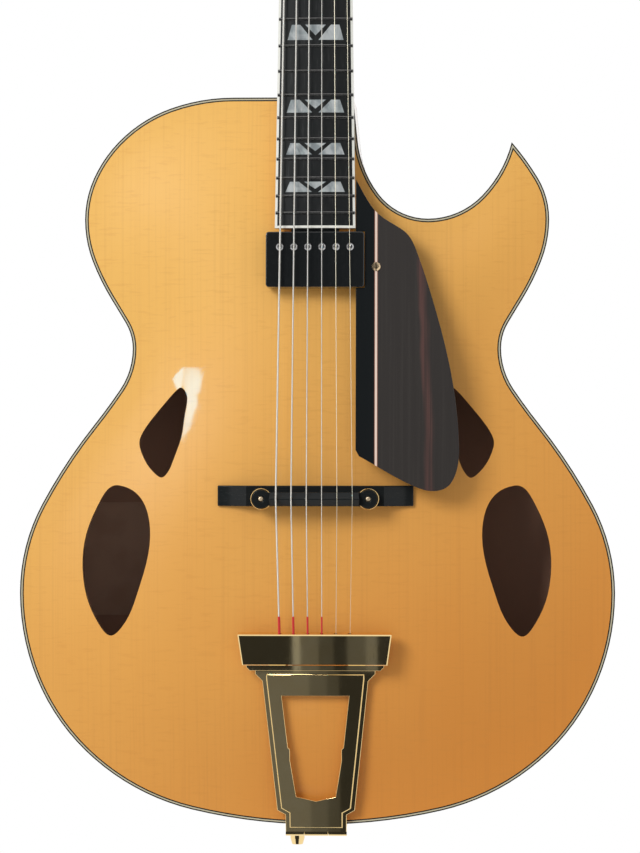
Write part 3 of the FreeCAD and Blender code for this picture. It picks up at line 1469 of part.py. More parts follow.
def make_pickguard():
    points = [guard_point(out, down) for out, down in GUARD_CURVE]
    curve = Part.BSplineCurve()
    curve.interpolate(points)
    corner = guard_point(0, GUARD_CORNER)
    edges = [curve.toShape(), Part.LineSegment(points[-1], corner).toShape(),
             Part.LineSegment(corner, points[0]).toShape()]
    guard = Part.Face(Part.Wire(edges)).extrude(Vector(0, float(s.guard_thickness), 0))
    room = s.guard_clearance
    low = -OVERHANG - s.pickup_gap - s.pickup_height - room
    notch = box(-LARGE, s.pickup_width / 2 + room, -LARGE, LARGE, low, -OVERHANG - s.pickup_gap + room)
    guard = guard.cut(notch)
    screw_at = Vector(float(s.strip_out), float(s.guard_drop), -float(s.guard_screw_at))
    shank = float(s.guard_thickness) * 3
    hole = rod(screw_at - Y_AXIS * shank, screw_at + Y_AXIS * shank, s.guard_screw_shank)
    guard = guard.cut(hole)
    half = s.strip_width / 2
    band = box(s.strip_out - half, s.strip_out + half, -LARGE, LARGE, -LARGE, LARGE)
    feature("pickguard", Part.makeCompound(guard.cut(band).Solids), NECK)
    feature("pickguard_strip", guard.common(band), NECK)
    screw = screw_body("guard_screw", s.guard_screw_head, s.guard_screw_shank, shank, s.guard_screw_head * 0.25)
    feature("pickguard_screw", screw.Shape, NECK.multiply(Placement(screw_at, Rotation(X_AXIS, -90))))
    feet = [standoff(screw_at).cut(hole.transformed(NECK.toMatrix())), standoff(guard_point(*GUARD_FOOT))]
    feature("pickguard_feet", Part.makeCompound(feet))


# Strings

MITRED = 1


def string_path(number):
    """Ball end, saddle, far side of the nut and the tangent point on the tuner post."""
    diameter = SIZES["string_%d_diameter" % number]
    index = number - 1
    tail_x = float(repeat_x(s.tail_string_spread)[index])
    saddle_x = float(repeat_x(s.string_spread_saddle)[index])
    nut_x = float(repeat_x(s.string_spread_nut)[index])
    ball = TAIL.multVec(Vector(tail_x, -float(HOLE_OUT), float(s.bar_at + s.ball_length)))
    lift = diameter / 2 + float(s.string_clearance)
    over_saddle = NECK.multVec(Vector(saddle_x, crown_drop(saddle_x) - float(s.saddle_rise) - lift, SADDLE_AT))
    past_nut = NUT_AT + float(s.nut_length)
    behind_nut = NECK.multVec(Vector(nut_x, crown_drop(nut_x) - float(s.nut_rise) - lift, past_nut))
    post_x, post_z = tuner_places()[index]
    start = HEAD.inverse().multVec(behind_nut)
    radius = float(s.post_radius - s.post_waist) + lift
    gap = math.hypot(start.x - post_x, start.z - post_z)
    bearing = math.atan2(start.z - post_z, start.x - post_x)
    swing = math.acos(radius / gap)
    inner = min((bearing + swing, bearing - swing), key=lambda a: abs(post_x + radius * math.cos(a)))
    height = -float(s.post_reach) * 0.61
    touch = HEAD.multVec(Vector(post_x + radius * math.cos(inner), height, post_z + radius * math.sin(inner)))
    return diameter, [ball, over_saddle, behind_nut, touch]


def string_shape(number):
    diameter, points = string_path(number)
    along = (points[1] - points[0]).normalize()
    section = Part.Wire(Part.makeCircle(diameter / 2, points[0], along))
    run = Part.makePolygon(points).makePipeShell([section], True, True, MITRED)
    ball = rod(points[0] - along * float(s.ball_length), points[0], s.ball_radius)
    return ball.fuse(run)


def make_strings():
    feature("plain_strings", Part.makeCompound([string_shape(number) for number in (1, 2)]))
    feature("wound_strings", Part.makeCompound([string_shape(number) for number in (3, 4, 5, 6)]))


make_plates()
make_rims()
make_bindings()
make_blocks()
make_linings()
make_tone_bars()
make_label()
make_tail_bracket()
make_tail_screws()
make_jack()
make_neck()
make_fingerboard()
make_frets()
make_nut()
make_overlay()
make_rod_cover()
make_tuners()
make_head_screws()
make_tailpiece()
make_bridge()
make_pickup()
make_pickguard()
make_strings()


# Export

doc.recompute()
for obj in doc.Objects:
    if "Invalid" in obj.State or "Error" in obj.State:
        raise RuntimeError("%s failed: %s" % (obj.Label, obj.State))
for node in nodes:
    if node.Shape.isNull() or not node.Shape.isValid():
        raise RuntimeError("%s has no valid shape" % node.Label)
os.makedirs("parts", exist_ok=True)
for node in nodes:
    node.Shape.exportStep("parts/%s.step" % node.Label)
    print("%-22s solids %d volume %.1f" % (node.Label, len(node.Shape.Solids), node.Shape.Volume))
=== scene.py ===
import json
import math

import bmesh
import bpy
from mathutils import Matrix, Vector
from mathutils.kdtree import KDTree

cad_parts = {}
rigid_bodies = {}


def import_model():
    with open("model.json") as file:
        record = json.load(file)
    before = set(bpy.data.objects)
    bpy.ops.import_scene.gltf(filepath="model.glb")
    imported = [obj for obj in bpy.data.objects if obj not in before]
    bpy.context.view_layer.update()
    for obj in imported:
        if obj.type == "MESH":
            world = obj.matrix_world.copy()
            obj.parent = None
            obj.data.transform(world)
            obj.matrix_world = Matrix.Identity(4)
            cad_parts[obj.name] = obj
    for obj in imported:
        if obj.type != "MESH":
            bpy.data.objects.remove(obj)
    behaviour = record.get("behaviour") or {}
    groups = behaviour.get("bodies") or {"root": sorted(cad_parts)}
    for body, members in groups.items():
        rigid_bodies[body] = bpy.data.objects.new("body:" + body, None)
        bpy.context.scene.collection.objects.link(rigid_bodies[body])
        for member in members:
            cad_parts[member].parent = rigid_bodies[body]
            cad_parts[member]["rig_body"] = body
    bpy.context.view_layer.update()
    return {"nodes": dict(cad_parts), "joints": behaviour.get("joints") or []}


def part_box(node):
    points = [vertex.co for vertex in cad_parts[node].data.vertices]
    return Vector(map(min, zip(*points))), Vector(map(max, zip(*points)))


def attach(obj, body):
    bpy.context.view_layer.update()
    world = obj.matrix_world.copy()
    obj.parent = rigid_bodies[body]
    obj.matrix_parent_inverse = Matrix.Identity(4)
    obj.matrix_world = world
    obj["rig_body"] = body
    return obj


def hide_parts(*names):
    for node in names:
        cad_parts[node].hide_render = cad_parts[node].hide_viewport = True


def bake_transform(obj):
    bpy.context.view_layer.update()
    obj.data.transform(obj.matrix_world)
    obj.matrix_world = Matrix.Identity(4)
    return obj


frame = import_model()

# Studio: the guitar hangs before white paper over a pale floor, with one soft lamp at its upper left.
# The camera stands far back, in front and a little to the treble side. The room behind it is dark, so
# polished faces stay dark. Grey sheets there, seen only in reflections, paint reflected bands on the
# tailpiece, and a glowing sheet seen only in reflections paints a highlight in the lacquer of the top.
EDGE_OF_TOP = -0.0267
AIM = Vector((0.0025, EDGE_OF_TOP, 0.304))
CAMERA_BACK = 2.5
CAMERA_SIDE = math.radians(2.3)
SEEN_HEIGHT = 0.6118
bpy.context.scene.view_settings.view_transform = "Standard"
lens = bpy.data.cameras.new("camera")
lens.lens = lens.sensor_width * CAMERA_BACK / SEEN_HEIGHT
camera = bpy.data.objects.new("camera", lens)
bpy.context.scene.collection.objects.link(camera)
camera.location = AIM + Vector((math.sin(CAMERA_SIDE), -math.cos(CAMERA_SIDE), 0)) * CAMERA_BACK
camera.rotation_euler = (AIM - camera.location).to_track_quat("-Z", "Y").to_euler()
bpy.context.scene.camera = camera


class Wire:
    """One output of a node. Sums on it add Math nodes."""

    def __init__(self, tree, socket):
        self.tree = tree
        self.socket = socket

    def node(self, kind, settings=None, values=None, output=0):
        made = self.tree.nodes.new(kind)
        for name, value in (settings or {}).items():
            setattr(made, name, value)
        for key, value in (values or {}).items():
            if isinstance(value, Wire):
                self.tree.links.new(value.socket, made.inputs[key])
            elif hasattr(value, "__len__") and made.inputs[key].type == "RGBA":
                made.inputs[key].default_value = (*value, 1.0)
            else:
                made.inputs[key].default_value = value
        return Wire(self.tree, made.outputs[output])

    def sum(self, operation, first, second):
        return self.node("ShaderNodeMath", {"operation": operation}, {0: first, 1: second})

    def __add__(self, other):
        return self.sum("ADD", self, other)

    def __sub__(self, other):
        return self.sum("SUBTRACT", self, other)

    def __rsub__(self, other):
        return self.sum("SUBTRACT", other, self)

    def __mul__(self, other):
        return self.sum("MULTIPLY", self, other)

    __radd__ = __add__
    __rmul__ = __mul__

    def feed(self, shader, socket):
        self.tree.links.new(self.socket, shader.inputs[socket])


world = bpy.data.worlds.new("white_paper")
world.use_nodes = True
bpy.context.scene.world = world
paper = world.node_tree
rays = Wire(paper, paper.nodes.new("ShaderNodeLightPath").outputs["Is Camera Ray"])
glossy = Wire(paper, rays.socket.node.outputs["Is Glossy Ray"])
through = Wire(paper, rays.socket.node.outputs["Is Transmission Ray"])
PAPER_LIGHT = 0.5
seen = rays.sum("MAXIMUM", rays.sum("MAXIMUM", rays, glossy), through)
(PAPER_LIGHT + seen * (1 - PAPER_LIGHT)).feed(paper.nodes["Background"], "Strength")
paper.nodes["Background"].inputs["Color"].default_value = (1, 1, 1, 1)
LAMP_AT = Vector((-1.7, -2.6, 1.7))
LAMP_AIM = Vector((0, 0, 0.32))
LAMP_WIDE = 1.3
LAMP_POWER = 62
lamp = bpy.data.lights.new("key_light", "AREA")
lamp.shape = "RECTANGLE"
lamp.size = LAMP_WIDE
lamp.size_y = LAMP_WIDE
lamp.energy = LAMP_POWER
softbox = bpy.data.objects.new("key_light", lamp)
bpy.context.scene.collection.objects.link(softbox)
softbox.location = LAMP_AT
softbox.rotation_euler = (LAMP_AIM - LAMP_AT).to_track_quat("-Z", "Y").to_euler()
SHEET_ROUGHNESS = 0.9


def plain_sheet(name, corners, colour, glow=0.0):
    mesh = bpy.data.meshes.new(name)
    mesh.from_pydata(corners, [], [list(range(len(corners)))])
    made = bpy.data.objects.new(name, mesh)
    bpy.context.scene.collection.objects.link(made)
    paint = bpy.data.materials.new(name)
    paint.use_nodes = True
    shader = paint.node_tree.nodes["Principled BSDF"]
    shader.inputs["Base Color"].default_value = (*colour, 1)
    shader.inputs["Roughness"].default_value = SHEET_ROUGHNESS
    shader.inputs["Emission Color"].default_value = (*colour, 1)
    shader.inputs["Emission Strength"].default_value = glow
    mesh.materials.append(paint)
    return made


def card(name, depth, outline, colour, glow=0.0):
    """A standing sheet that shows only in reflections."""
    made = plain_sheet(name, [(x, depth, z) for x, z in outline], colour, glow)
    made.visible_camera = False
    made.visible_diffuse = False
    made.visible_shadow = False


FLOOR_BELOW = -0.3
FLOOR_RADIUS = 1.15
FLOOR_SIDES = 96
ring = [math.tau * n / FLOOR_SIDES for n in range(FLOOR_SIDES)]
disc = [(FLOOR_RADIUS * math.cos(turn), FLOOR_RADIUS * math.sin(turn), FLOOR_BELOW) for turn in ring]
floor = plain_sheet("floor", disc, (0.82, 0.81, 0.79))
floor.visible_glossy = False
WALL_DEPTH = -4.4
card("dark_room", WALL_DEPTH, [(-3.6, -12), (-3.6, 3.4), (2.4, 3.4), (2.4, -12)], (0.030, 0.034, 0.042))
# Grey sheets seen only in reflections, which paint reflected bands on the tailpiece.
BANDS_DEPTH = -4.3
UPPER = (-1.45, -1.33)
LOWER = (-1.85, -1.45)
reflected_bands = (("reflected_band_1", -0.232, -0.217, UPPER, 0.50), ("reflected_band_2", -0.217, -0.180, UPPER, 0.18),
             ("reflected_band_3", -0.180, -0.150, UPPER, 0.09), ("reflected_band_4", -0.123, -0.085, UPPER, 0.14),
             ("reflected_band_5", -0.085, -0.062, UPPER, 0.25), ("reflected_band_6", -0.34, -0.20, LOWER, 0.23),
             ("reflected_band_7", -0.20, -0.165, LOWER, 0.15), ("reflected_band_8", -0.165, -0.14, LOWER, 0.09))
for name, left, right, (low, high), grey in reflected_bands:
    cool_grey = (grey, grey * 1.1, grey * 1.3)
    card(name, BANDS_DEPTH, [(left, low), (left, high), (right, high), (right, low)], cool_grey)
# A glowing sheet seen only in reflections, shaped so that it paints a highlight in the lacquer of the top.
HIGHLIGHT_CARD_DEPTH = -1.93
HIGHLIGHT_CARD_GLOW = 16.0
highlight_card = [(-1.217, 0.568), (-1.245, 0.562), (-1.262, 0.551), (-1.285, 0.545), (-1.30, 0.55), (-1.315, 0.56),
          (-1.33, 0.575), (-1.35, 0.60), (-1.35, 0.66), (-1.26, 0.71), (-1.19, 0.745), (-1.12, 0.742),
          (-1.12, 0.715), (-1.153, 0.709), (-1.188, 0.693), (-1.179, 0.662), (-1.186, 0.61), (-1.185, 0.59)]
card("highlight_card", HIGHLIGHT_CARD_DEPTH, highlight_card, (0.10, 0.60, 0.86), HIGHLIGHT_CARD_GLOW)


# Top plate: carved from book-matched spruce, with four leaf-shaped sound holes sawn through it. The grain
# runs along the body and a fine silk crosses it. The honey-coloured gloss lacquer deepens towards the lower
# treble side, partly its own deeper tone and partly painted shade away from the lamp at the upper left, and
# the walls of the holes show bare wood.
def new_finish(name, **constants):
    material = bpy.data.materials.new(name)
    material.use_nodes = True
    shader = material.node_tree.nodes["Principled BSDF"]
    for socket, value in constants.items():
        shader.inputs[socket.replace("_", " ")].default_value = value
    place = Wire(material.node_tree, material.node_tree.nodes.new("ShaderNodeTexCoord").outputs["Object"])
    return material, shader, place


def streaks(place, stretch, detail=2.0, warp=0.0):
    """Noise drawn out along the axes where the stretch is small, in features per metre."""
    spread = place.node("ShaderNodeVectorMath", {"operation": "MULTIPLY"}, {0: place, 1: stretch})
    return place.node("ShaderNodeTexNoise", {},
                      {"Vector": spread, "Scale": 1.0, "Detail": detail, "Distortion": warp})


def between(value, low, high):
    return value.node("ShaderNodeMapRange", {"interpolation_type": "SMOOTHSTEP"},
                      {"Value": value, "From Min": low, "From Max": high})


def tint(mask, first, second):
    return mask.node("ShaderNodeMix", {"data_type": "RGBA"}, {0: mask, 6: first, 7: second}, 2)


def relief(shader, height, distance):
    bump = height.node("ShaderNodeBump", {}, {"Strength": 1.0, "Distance": distance, "Height": height})
    bump.feed(shader, "Normal")


def axis(place, name):
    return Wire(place.tree, place.node("ShaderNodeSeparateXYZ", {}, {0: place}).socket.node.outputs[name])


def facing(place, name):
    """How far the surface looks along one of the object's axes, from -1 to 1."""
    turned = place.socket.node.outputs["Normal"]
    return axis(Wire(place.tree, turned), name)


top_wood, shader, place = new_finish("top_wood", Coat_Roughness=0.045, Specular_IOR_Level=0.35)
grain = streaks(place, (620, 60, 4), 3.0)
silk = streaks(place, (70, 30, 480), 3.0, 0.6)
patches = streaks(place, (9, 9, 6), 2.0)
# Painted shade: the colour turns darker towards the lower treble side, away from the lamp, over the lacquer's
# own deeper tone there.
tone_and_shade = between(axis(place, "X") * 0.75 - axis(place, "Z") + patches * 0.16, -0.52, 0.18)
honey = tint(tone_and_shade, (0.95, 0.535, 0.126), (0.72, 0.268, 0.040))
honey = tint(between(grain, 0.46, 0.74) * 0.10, honey, (0.47, 0.17, 0.030))
honey = tint(between(silk, 0.52, 0.72) * 0.16, honey, (0.62, 0.25, 0.045))
sawn = 1 - between(facing(place, "Y") * facing(place, "Y"), 0.1, 0.4)
bare = tint(grain, (0.60, 0.36, 0.15), (0.74, 0.48, 0.24))
inside = between(facing(place, "Y"), 0.2, 0.6)
tint(inside, tint(sawn * 0.6, honey, bare), (0.30, 0.165, 0.105)).feed(shader, "Base Color")
(0.34 + grain * 0.1 + inside * 0.4).feed(shader, "Roughness")
(0.9 - inside * 0.9).feed(shader, "Coat Weight")
relief(shader, grain, 0.00001)


def dress(finish, *nodes):
    """Gives solids that stay as they are their finish."""
    for name in nodes:
        solid = frame["nodes"][name].data
        solid.materials.clear()
        solid.materials.append(finish)


dress(top_wood, "top_plate")


# Back and rims: flamed maple under the same lacquer, the back carved from two matched halves and the rims
# bent from thin strips. The flame runs down from the middle of the back to both sides. Inside, the wood is
# stained dark.
maple, shader, place = new_finish("maple", Coat_Roughness=0.05, Specular_IOR_Level=0.35)
aside = place.sum("ABSOLUTE", axis(place, "X"), 0.0)
leaning = axis(place, "Z") + aside * 0.22
matched = place.node("ShaderNodeCombineXYZ", {}, {0: aside, 1: axis(place, "Y"), 2: leaning})
flame = streaks(matched, (16, 6, 130), 2.0, 0.5)
fibre = streaks(place, (380, 380, 24), 3.0)
wood = tint(between(flame, 0.34, 0.66), (0.60, 0.285, 0.07), (0.79, 0.44, 0.135))
wood = tint(between(fibre, 0.52, 0.75) * 0.3, wood, (0.45, 0.18, 0.04))
depth = axis(place, "Y")
hollow = between(0.0 - facing(place, "Y"), 0.3, 0.7) * between(depth, 0.03, 0.04)
tint(hollow, wood, (0.50, 0.270, 0.175)).feed(shader, "Base Color")
(0.36 + fibre * 0.1).feed(shader, "Roughness")
(0.9 - hollow * 0.9).feed(shader, "Coat Weight")
relief(shader, fibre, 0.000015)
dress(maple, "back_plate", "rim_bass", "rim_treble", "rim_cutaway")


# Bindings: three thin plies of celluloid round both edges of the body, dark, pale and dark.
# They are glued into a ledge and scraped flush, and the pale ply has yellowed unevenly.
binding_dark, shader, place = new_finish("binding_dark", Coat_Weight=0.15, Coat_Roughness=0.1,
                                         Specular_IOR_Level=0.25)
tone = streaks(place, (60, 60, 60), 3.0)
tint(tone, (0.012, 0.011, 0.008), (0.026, 0.022, 0.016)).feed(shader, "Base Color")
(0.34 + tone * 0.12).feed(shader, "Roughness")
binding_pale, shader, place = new_finish("binding_pale", Coat_Weight=0.4, Coat_Roughness=0.06)
tone = streaks(place, (35, 35, 35), 3.0)
tint(tone, (0.50, 0.45, 0.30), (0.66, 0.62, 0.46)).feed(shader, "Base Color")
(0.28 + tone * 0.14).feed(shader, "Roughness")
dress(binding_dark, "binding_dark")
dress(binding_pale, "binding_pale")


# Inside of the box: end blocks, linings and tone bars of bare wood, darkened with stain.
# They are glued in before the back is closed and never lacquered.
bare_wood, shader, place = new_finish("bare_wood")
fibre = streaks(place, (420, 420, 18), 3.0)
tint(fibre, (0.16, 0.085, 0.050), (0.25, 0.14, 0.085)).feed(shader, "Base Color")
(0.62 + fibre * 0.2).feed(shader, "Roughness")
relief(shader, fibre, 0.00005)
dress(bare_wood, "neck_block", "tail_block", "linings", "tone_bars")


# Paper sheet: a bare leaf of aged paper glued to the inside of the back, behind the lower bass sound hole.
# It has gone brown and blotchy with age and dust.
old_paper, shader, place = new_finish("old_paper")
pulp = streaks(place, (900, 900, 900), 3.0)
stain = streaks(place, (40, 40, 40), 2.0)
aged = between(stain, 0.35, 0.7) * 0.5 + pulp * 0.2
tint(aged, (0.62, 0.40, 0.29), (0.50, 0.30, 0.205)).feed(shader, "Base Color")
(0.75 + pulp * 0.15).feed(shader, "Roughness")
relief(shader, pulp, 0.00003)
dress(old_paper, "paper_label")


# Neck: maple in one piece with its heel and headstock, lacquered like the rims.
# A steel rod lies in a bore under the fingerboard, to set the bow of the neck.
dress(maple, "neck")
steel, shader, place = new_finish("steel", Metallic=1.0)
scratch = streaks(place, (40, 900, 900), 3.0)
tint(scratch, (0.42, 0.42, 0.43), (0.58, 0.57, 0.56)).feed(shader, "Base Color")
(0.16 + scratch * 0.14).feed(shader, "Roughness")
dress(steel, "truss_rod")


# Fingerboard: oiled and polished ebony with fine open pores along the grain, arched across its width.
# Its sides and end are bound in white celluloid, and a cap of the same ebony closes the foot of the heel.
ebony, shader, place = new_finish("ebony", Coat_Weight=0.3, Coat_Roughness=0.14, Specular_IOR_Level=0.4)
pores = streaks(place, (1300, 1300, 26), 2.0)
vein = streaks(place, (55, 55, 3), 2.0, 0.3)
black = tint(between(vein, 0.5, 0.8), (0.0120, 0.0135, 0.0138), (0.0170, 0.0172, 0.0165))
tint(between(pores, 0.6, 0.75) * 0.35, black, (0.026, 0.026, 0.026)).feed(shader, "Base Color")
(0.30 + between(pores, 0.55, 0.75) * 0.15).feed(shader, "Roughness")
relief(shader, 1 - between(pores, 0.58, 0.72), 0.00001)
dress(ebony, "fingerboard", "heel_cap")
white_celluloid, shader, place = new_finish("white_celluloid", Coat_Weight=0.5, Coat_Roughness=0.06)
tone = streaks(place, (35, 35, 35), 3.0)
tint(tone, (0.80, 0.80, 0.72), (0.90, 0.90, 0.85)).feed(shader, "Base Color")
(0.26 + tone * 0.12).feed(shader, "Roughness")
dress(white_celluloid, "fingerboard_binding")


# Inlays: blocks of mother-of-pearl let in flush, each with a dark V and an inverted triangle in it.
# The shell is sawn from different parts of the nacre, so its clouds and tints wander.
pearl, shader, place = new_finish("pearl", Coat_Weight=0.8, Coat_Roughness=0.05)
swirl = streaks(place, (90, 90, 60), 3.0, 1.2)
flash = streaks(place, (260, 200, 220), 2.0, 0.8)
shell = tint(between(swirl, 0.36, 0.66), (0.27, 0.305, 0.32), (0.50, 0.53, 0.535))
shell = tint(between(flash, 0.54, 0.75) * 0.3, shell, (0.52, 0.64, 0.60))
shell = tint(between(1 - flash, 0.58, 0.78) * 0.2, shell, (0.80, 0.78, 0.76))
shell.feed(shader, "Base Color")
(0.14 + swirl * 0.2).feed(shader, "Roughness")
dress(pearl, "inlays")


# Frets: nickel-silver wire hammered into slots, its ends filed over the binding.
# The crowns are polished where the strings rub and dull between.
fret_metal, shader, place = new_finish("fret_metal", Metallic=1.0)
wear = streaks(place, (700, 700, 90), 3.0)
tint(wear, (0.11, 0.11, 0.108), (0.19, 0.187, 0.18)).feed(shader, "Base Color")
(0.16 + wear * 0.16).feed(shader, "Roughness")
dress(fret_metal, "frets")


# Nut: a bar of polished bone with six slots, glued between fingerboard and headstock.
# Its upper edges are rounded by hand.
bone, shader, place = new_finish("bone", Coat_Weight=0.3, Coat_Roughness=0.1)
tone = streaks(place, (240, 600, 600), 3.0)
tint(tone, (0.70, 0.62, 0.46), (0.84, 0.79, 0.66)).feed(shader, "Base Color")
(0.3 + tone * 0.15).feed(shader, "Roughness")


def link(name, mesh, finish):
    piece = bpy.data.objects.new(name, mesh)
    bpy.context.scene.collection.objects.link(piece)
    mesh.materials.clear()
    mesh.materials.append(finish)
    return piece


ALIKE = 0.97
MERGED = 2e-6
FLAT = math.radians(0.5)
CREASE = math.radians(34)


def take_normals(mesh, source, reach):
    """Faces that still lie on the solid get its exact normals, so that arched faces reflect evenly."""
    tree = KDTree(len(source.vertices))
    for corner in source.vertices:
        tree.insert(corner.co, corner.index)
    tree.balance()
    exact = {loop.vertex_index: source.corner_normals[loop.index].vector for loop in source.loops}
    normals = [corner.vector.copy() for corner in mesh.corner_normals]
    for face in mesh.polygons:
        for loop in face.loop_indices:
            place = mesh.vertices[mesh.loops[loop].vertex_index].co
            for _, index, _ in sorted(tree.find_range(place, reach), key=lambda found: found[2]):
                if exact[index].dot(face.normal) > ALIKE:
                    normals[loop] = exact[index]
                    break
    mesh.normals_split_custom_set(normals)


def eased(node, finish, width, chosen=lambda edge: True, turn=40, rounds=2, joined=False, clamped=True):
    """A copy of a solid with the chosen sharp edges rounded over, which stands for the solid.

    Edges that turn by more degrees than turn are sharp. Joined makes one face of flat neighbours first.
    """
    source = frame["nodes"][node]
    shape = bmesh.new()
    shape.from_mesh(source.data)
    bmesh.ops.remove_doubles(shape, verts=shape.verts, dist=MERGED)
    if joined:
        bmesh.ops.dissolve_limit(shape, angle_limit=FLAT, verts=shape.verts, edges=shape.edges)
    sharp = [edge for edge in shape.edges
             if len(edge.link_faces) == 2 and edge.calc_face_angle() > math.radians(turn) and chosen(edge)]
    bmesh.ops.bevel(shape, geom=sharp, offset=width, segments=rounds, profile=0.5, affect="EDGES",
                    clamp_overlap=clamped)
    mesh = bpy.data.meshes.new(node + "_eased")
    shape.to_mesh(mesh)
    shape.free()
    mesh.polygons.foreach_set("use_smooth", [True] * len(mesh.polygons))
    mesh.set_sharp_from_angle(angle=CREASE)
    take_normals(mesh, source.data, 2 * width)
    piece = link(node + "_eased", mesh, finish)
    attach(piece, source["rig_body"])
    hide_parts(node)


NUT_EDGE = 0.0003
eased("nut", bone, NUT_EDGE)


# Headstock: an ebony face glued to the maple, and a black cover plate over the rod's adjuster.
# The plate is cut from sheet plastic, and its edges are eased.
dress(ebony, "headstock_overlay")
black_plastic, shader, place = new_finish("black_plastic", Coat_Weight=0.6, Coat_Roughness=0.05)
swirls = streaks(place, (300, 300, 300), 4.0, 1.5)
tint(swirls, (0.0085, 0.0100, 0.0105), (0.0130, 0.0145, 0.0150)).feed(shader, "Base Color")
(0.12 + between(swirls, 0.5, 0.8) * 0.12).feed(shader, "Roughness")
COVER_EDGE = 0.0004
eased("truss_rod_cover", black_plastic, COVER_EDGE)


# Tuning machines: closed gold-plated housings screwed to the back of the headstock, each with a cast key
# on its worm and a post through a bushing. The plating is polished and faintly scratched.
gold, shader, place = new_finish("gold", Metallic=1.0)
haze = streaks(place, (90, 90, 90), 3.0)
scratch = streaks(place, (1600, 1600, 60), 2.0, 0.6)
tint(haze, (0.86, 0.62, 0.27), (0.95, 0.74, 0.38)).feed(shader, "Base Color")
(0.01 + haze * 0.02 + between(scratch, 0.6, 0.8) * 0.04).feed(shader, "Roughness")
dress(gold, "tuner_bushings", "headstock_screws")
HOUSING_EDGE = 0.0003
eased("tuner_housings", gold, HOUSING_EDGE, turn=60, clamped=False)
MACHINES = range(1, 7)
for number in MACHINES:
    dress(gold, "tuner_key_%d" % number, "tuner_post_%d" % number)


# Tail bracket and end-pin jack: a bent plate screwed over the tail, which carries the hinge of the tailpiece,
# and a turned jack through plate and tail block. All of it is gold plated.
dress(gold, "hinge_pin", "bracket_screws")
PLATE_EDGE = 0.0003
eased("endpin_jack", gold, PLATE_EDGE)
eased("tail_bracket", gold, PLATE_EDGE)


# Tailpiece: a cut plate with a raised panel on it and a trapezoid bar across its top, polished and gold
# plated. The edges are rolled over by the buffing wheel, so they catch the light all round.
FRAME_EDGE = 0.00045
BAR_EDGE = 0.0003
SHORTEST_LINE = 0.002
ABOVE_HINGE = 0.0165


def outline(edge):
    middle = (edge.verts[0].co + edge.verts[1].co) / 2
    return edge.calc_length() > SHORTEST_LINE and middle.z > ABOVE_HINGE


eased("tailpiece_frame", gold, FRAME_EDGE, outline, rounds=3, joined=True, clamped=False)
eased("tailpiece_bar", gold, BAR_EDGE, outline, joined=True, clamped=False)


# Bridge: an ebony foot fitted to the arch of the top, and a compensated ebony saddle on two posts.
# Both are filed to shape, sanded and oiled, so their edges shine.
bridge_ebony, shader, place = new_finish("bridge_ebony", Coat_Weight=0.06, Coat_Roughness=0.08,
                                         Specular_IOR_Level=0.15)
pores = streaks(place, (26, 1300, 1300), 2.0)
vein = streaks(place, (4, 70, 70), 2.0, 0.3)
black = tint(between(vein, 0.5, 0.8), (0.0120, 0.0140, 0.0145), (0.0175, 0.0180, 0.0175))
tint(between(pores, 0.6, 0.75) * 0.3, black, (0.022, 0.021, 0.020)).feed(shader, "Base Color")
(0.2 + between(pores, 0.55, 0.75) * 0.15).feed(shader, "Roughness")
BASE_EDGE = 0.0006
SADDLE_EDGE = 0.0003
eased("bridge_base", bridge_ebony, BASE_EDGE, turn=16, joined=True, clamped=False)
eased("bridge_saddle", bridge_ebony, SADDLE_EDGE, turn=16, joined=True)


# Thumbwheels and posts: knurled brass wheels on round-ended posts, gold plated. Turning the wheels lifts the
# saddle. The knurl is rolled into their rims as fine ridges along the post.
satin_gold, shader, place = new_finish("satin_gold", Metallic=1.0)
wear = streaks(place, (700, 700, 700), 3.0)
tint(wear, (0.88, 0.66, 0.40), (0.96, 0.78, 0.56)).feed(shader, "Base Color")
(0.36 + wear * 0.16).feed(shader, "Roughness")
POST_EDGE = 0.0008
eased("bridge_posts", satin_gold, POST_EDGE, rounds=3, joined=True)
wheel_gold, shader, place = new_finish("wheel_gold", Metallic=1.0)
wear = streaks(place, (300, 300, 300), 3.0)
tint(wear, (0.86, 0.62, 0.27), (0.95, 0.74, 0.38)).feed(shader, "Base Color")
(0.08 + wear * 0.12).feed(shader, "Roughness")
KNURLS = 48
STEPS = KNURLS * 6
RIDGE = 0.00016
BORE = 0.00196
CHAMFER = 0.00045
RIM_CREASE = math.radians(30)
for side in ("bass", "treble"):
    node = "thumbwheel_" + side
    low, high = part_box(node)
    middle = (low + high) / 2
    rim = (high.x - low.x) / 2
    face_from = BORE + CHAMFER
    face_to = rim - CHAMFER
    front = low.y + CHAMFER
    back = high.y - CHAMFER
    corners = []
    for step in range(STEPS):
        turned = math.tau * step / STEPS
        ridged = rim - RIDGE * (0.5 + 0.5 * math.cos(turned * KNURLS))
        section = ((face_from, low.y), (face_to, low.y), (ridged, front), (ridged, back),
                   (face_to, high.y), (face_from, high.y), (BORE, back), (BORE, front))
        for out, forward in section:
            corners.append((middle.x + out * math.cos(turned), forward, middle.z + out * math.sin(turned)))
    around = len(section)
    faces = []
    for step in range(STEPS):
        here = step * around
        there = (step + 1) % STEPS * around
        for n in range(around):
            m = (n + 1) % around
            faces.append((here + m, there + m, there + n, here + n))
    mesh = bpy.data.meshes.new(node + "_knurled")
    mesh.from_pydata(corners, [], faces)
    mesh.polygons.foreach_set("use_smooth", [True] * len(mesh.polygons))
    mesh.set_sharp_from_angle(angle=RIM_CREASE)
    wheel = link(node + "_knurled", mesh, wheel_gold)
    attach(wheel, frame["nodes"][node]["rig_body"])
    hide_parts(node)


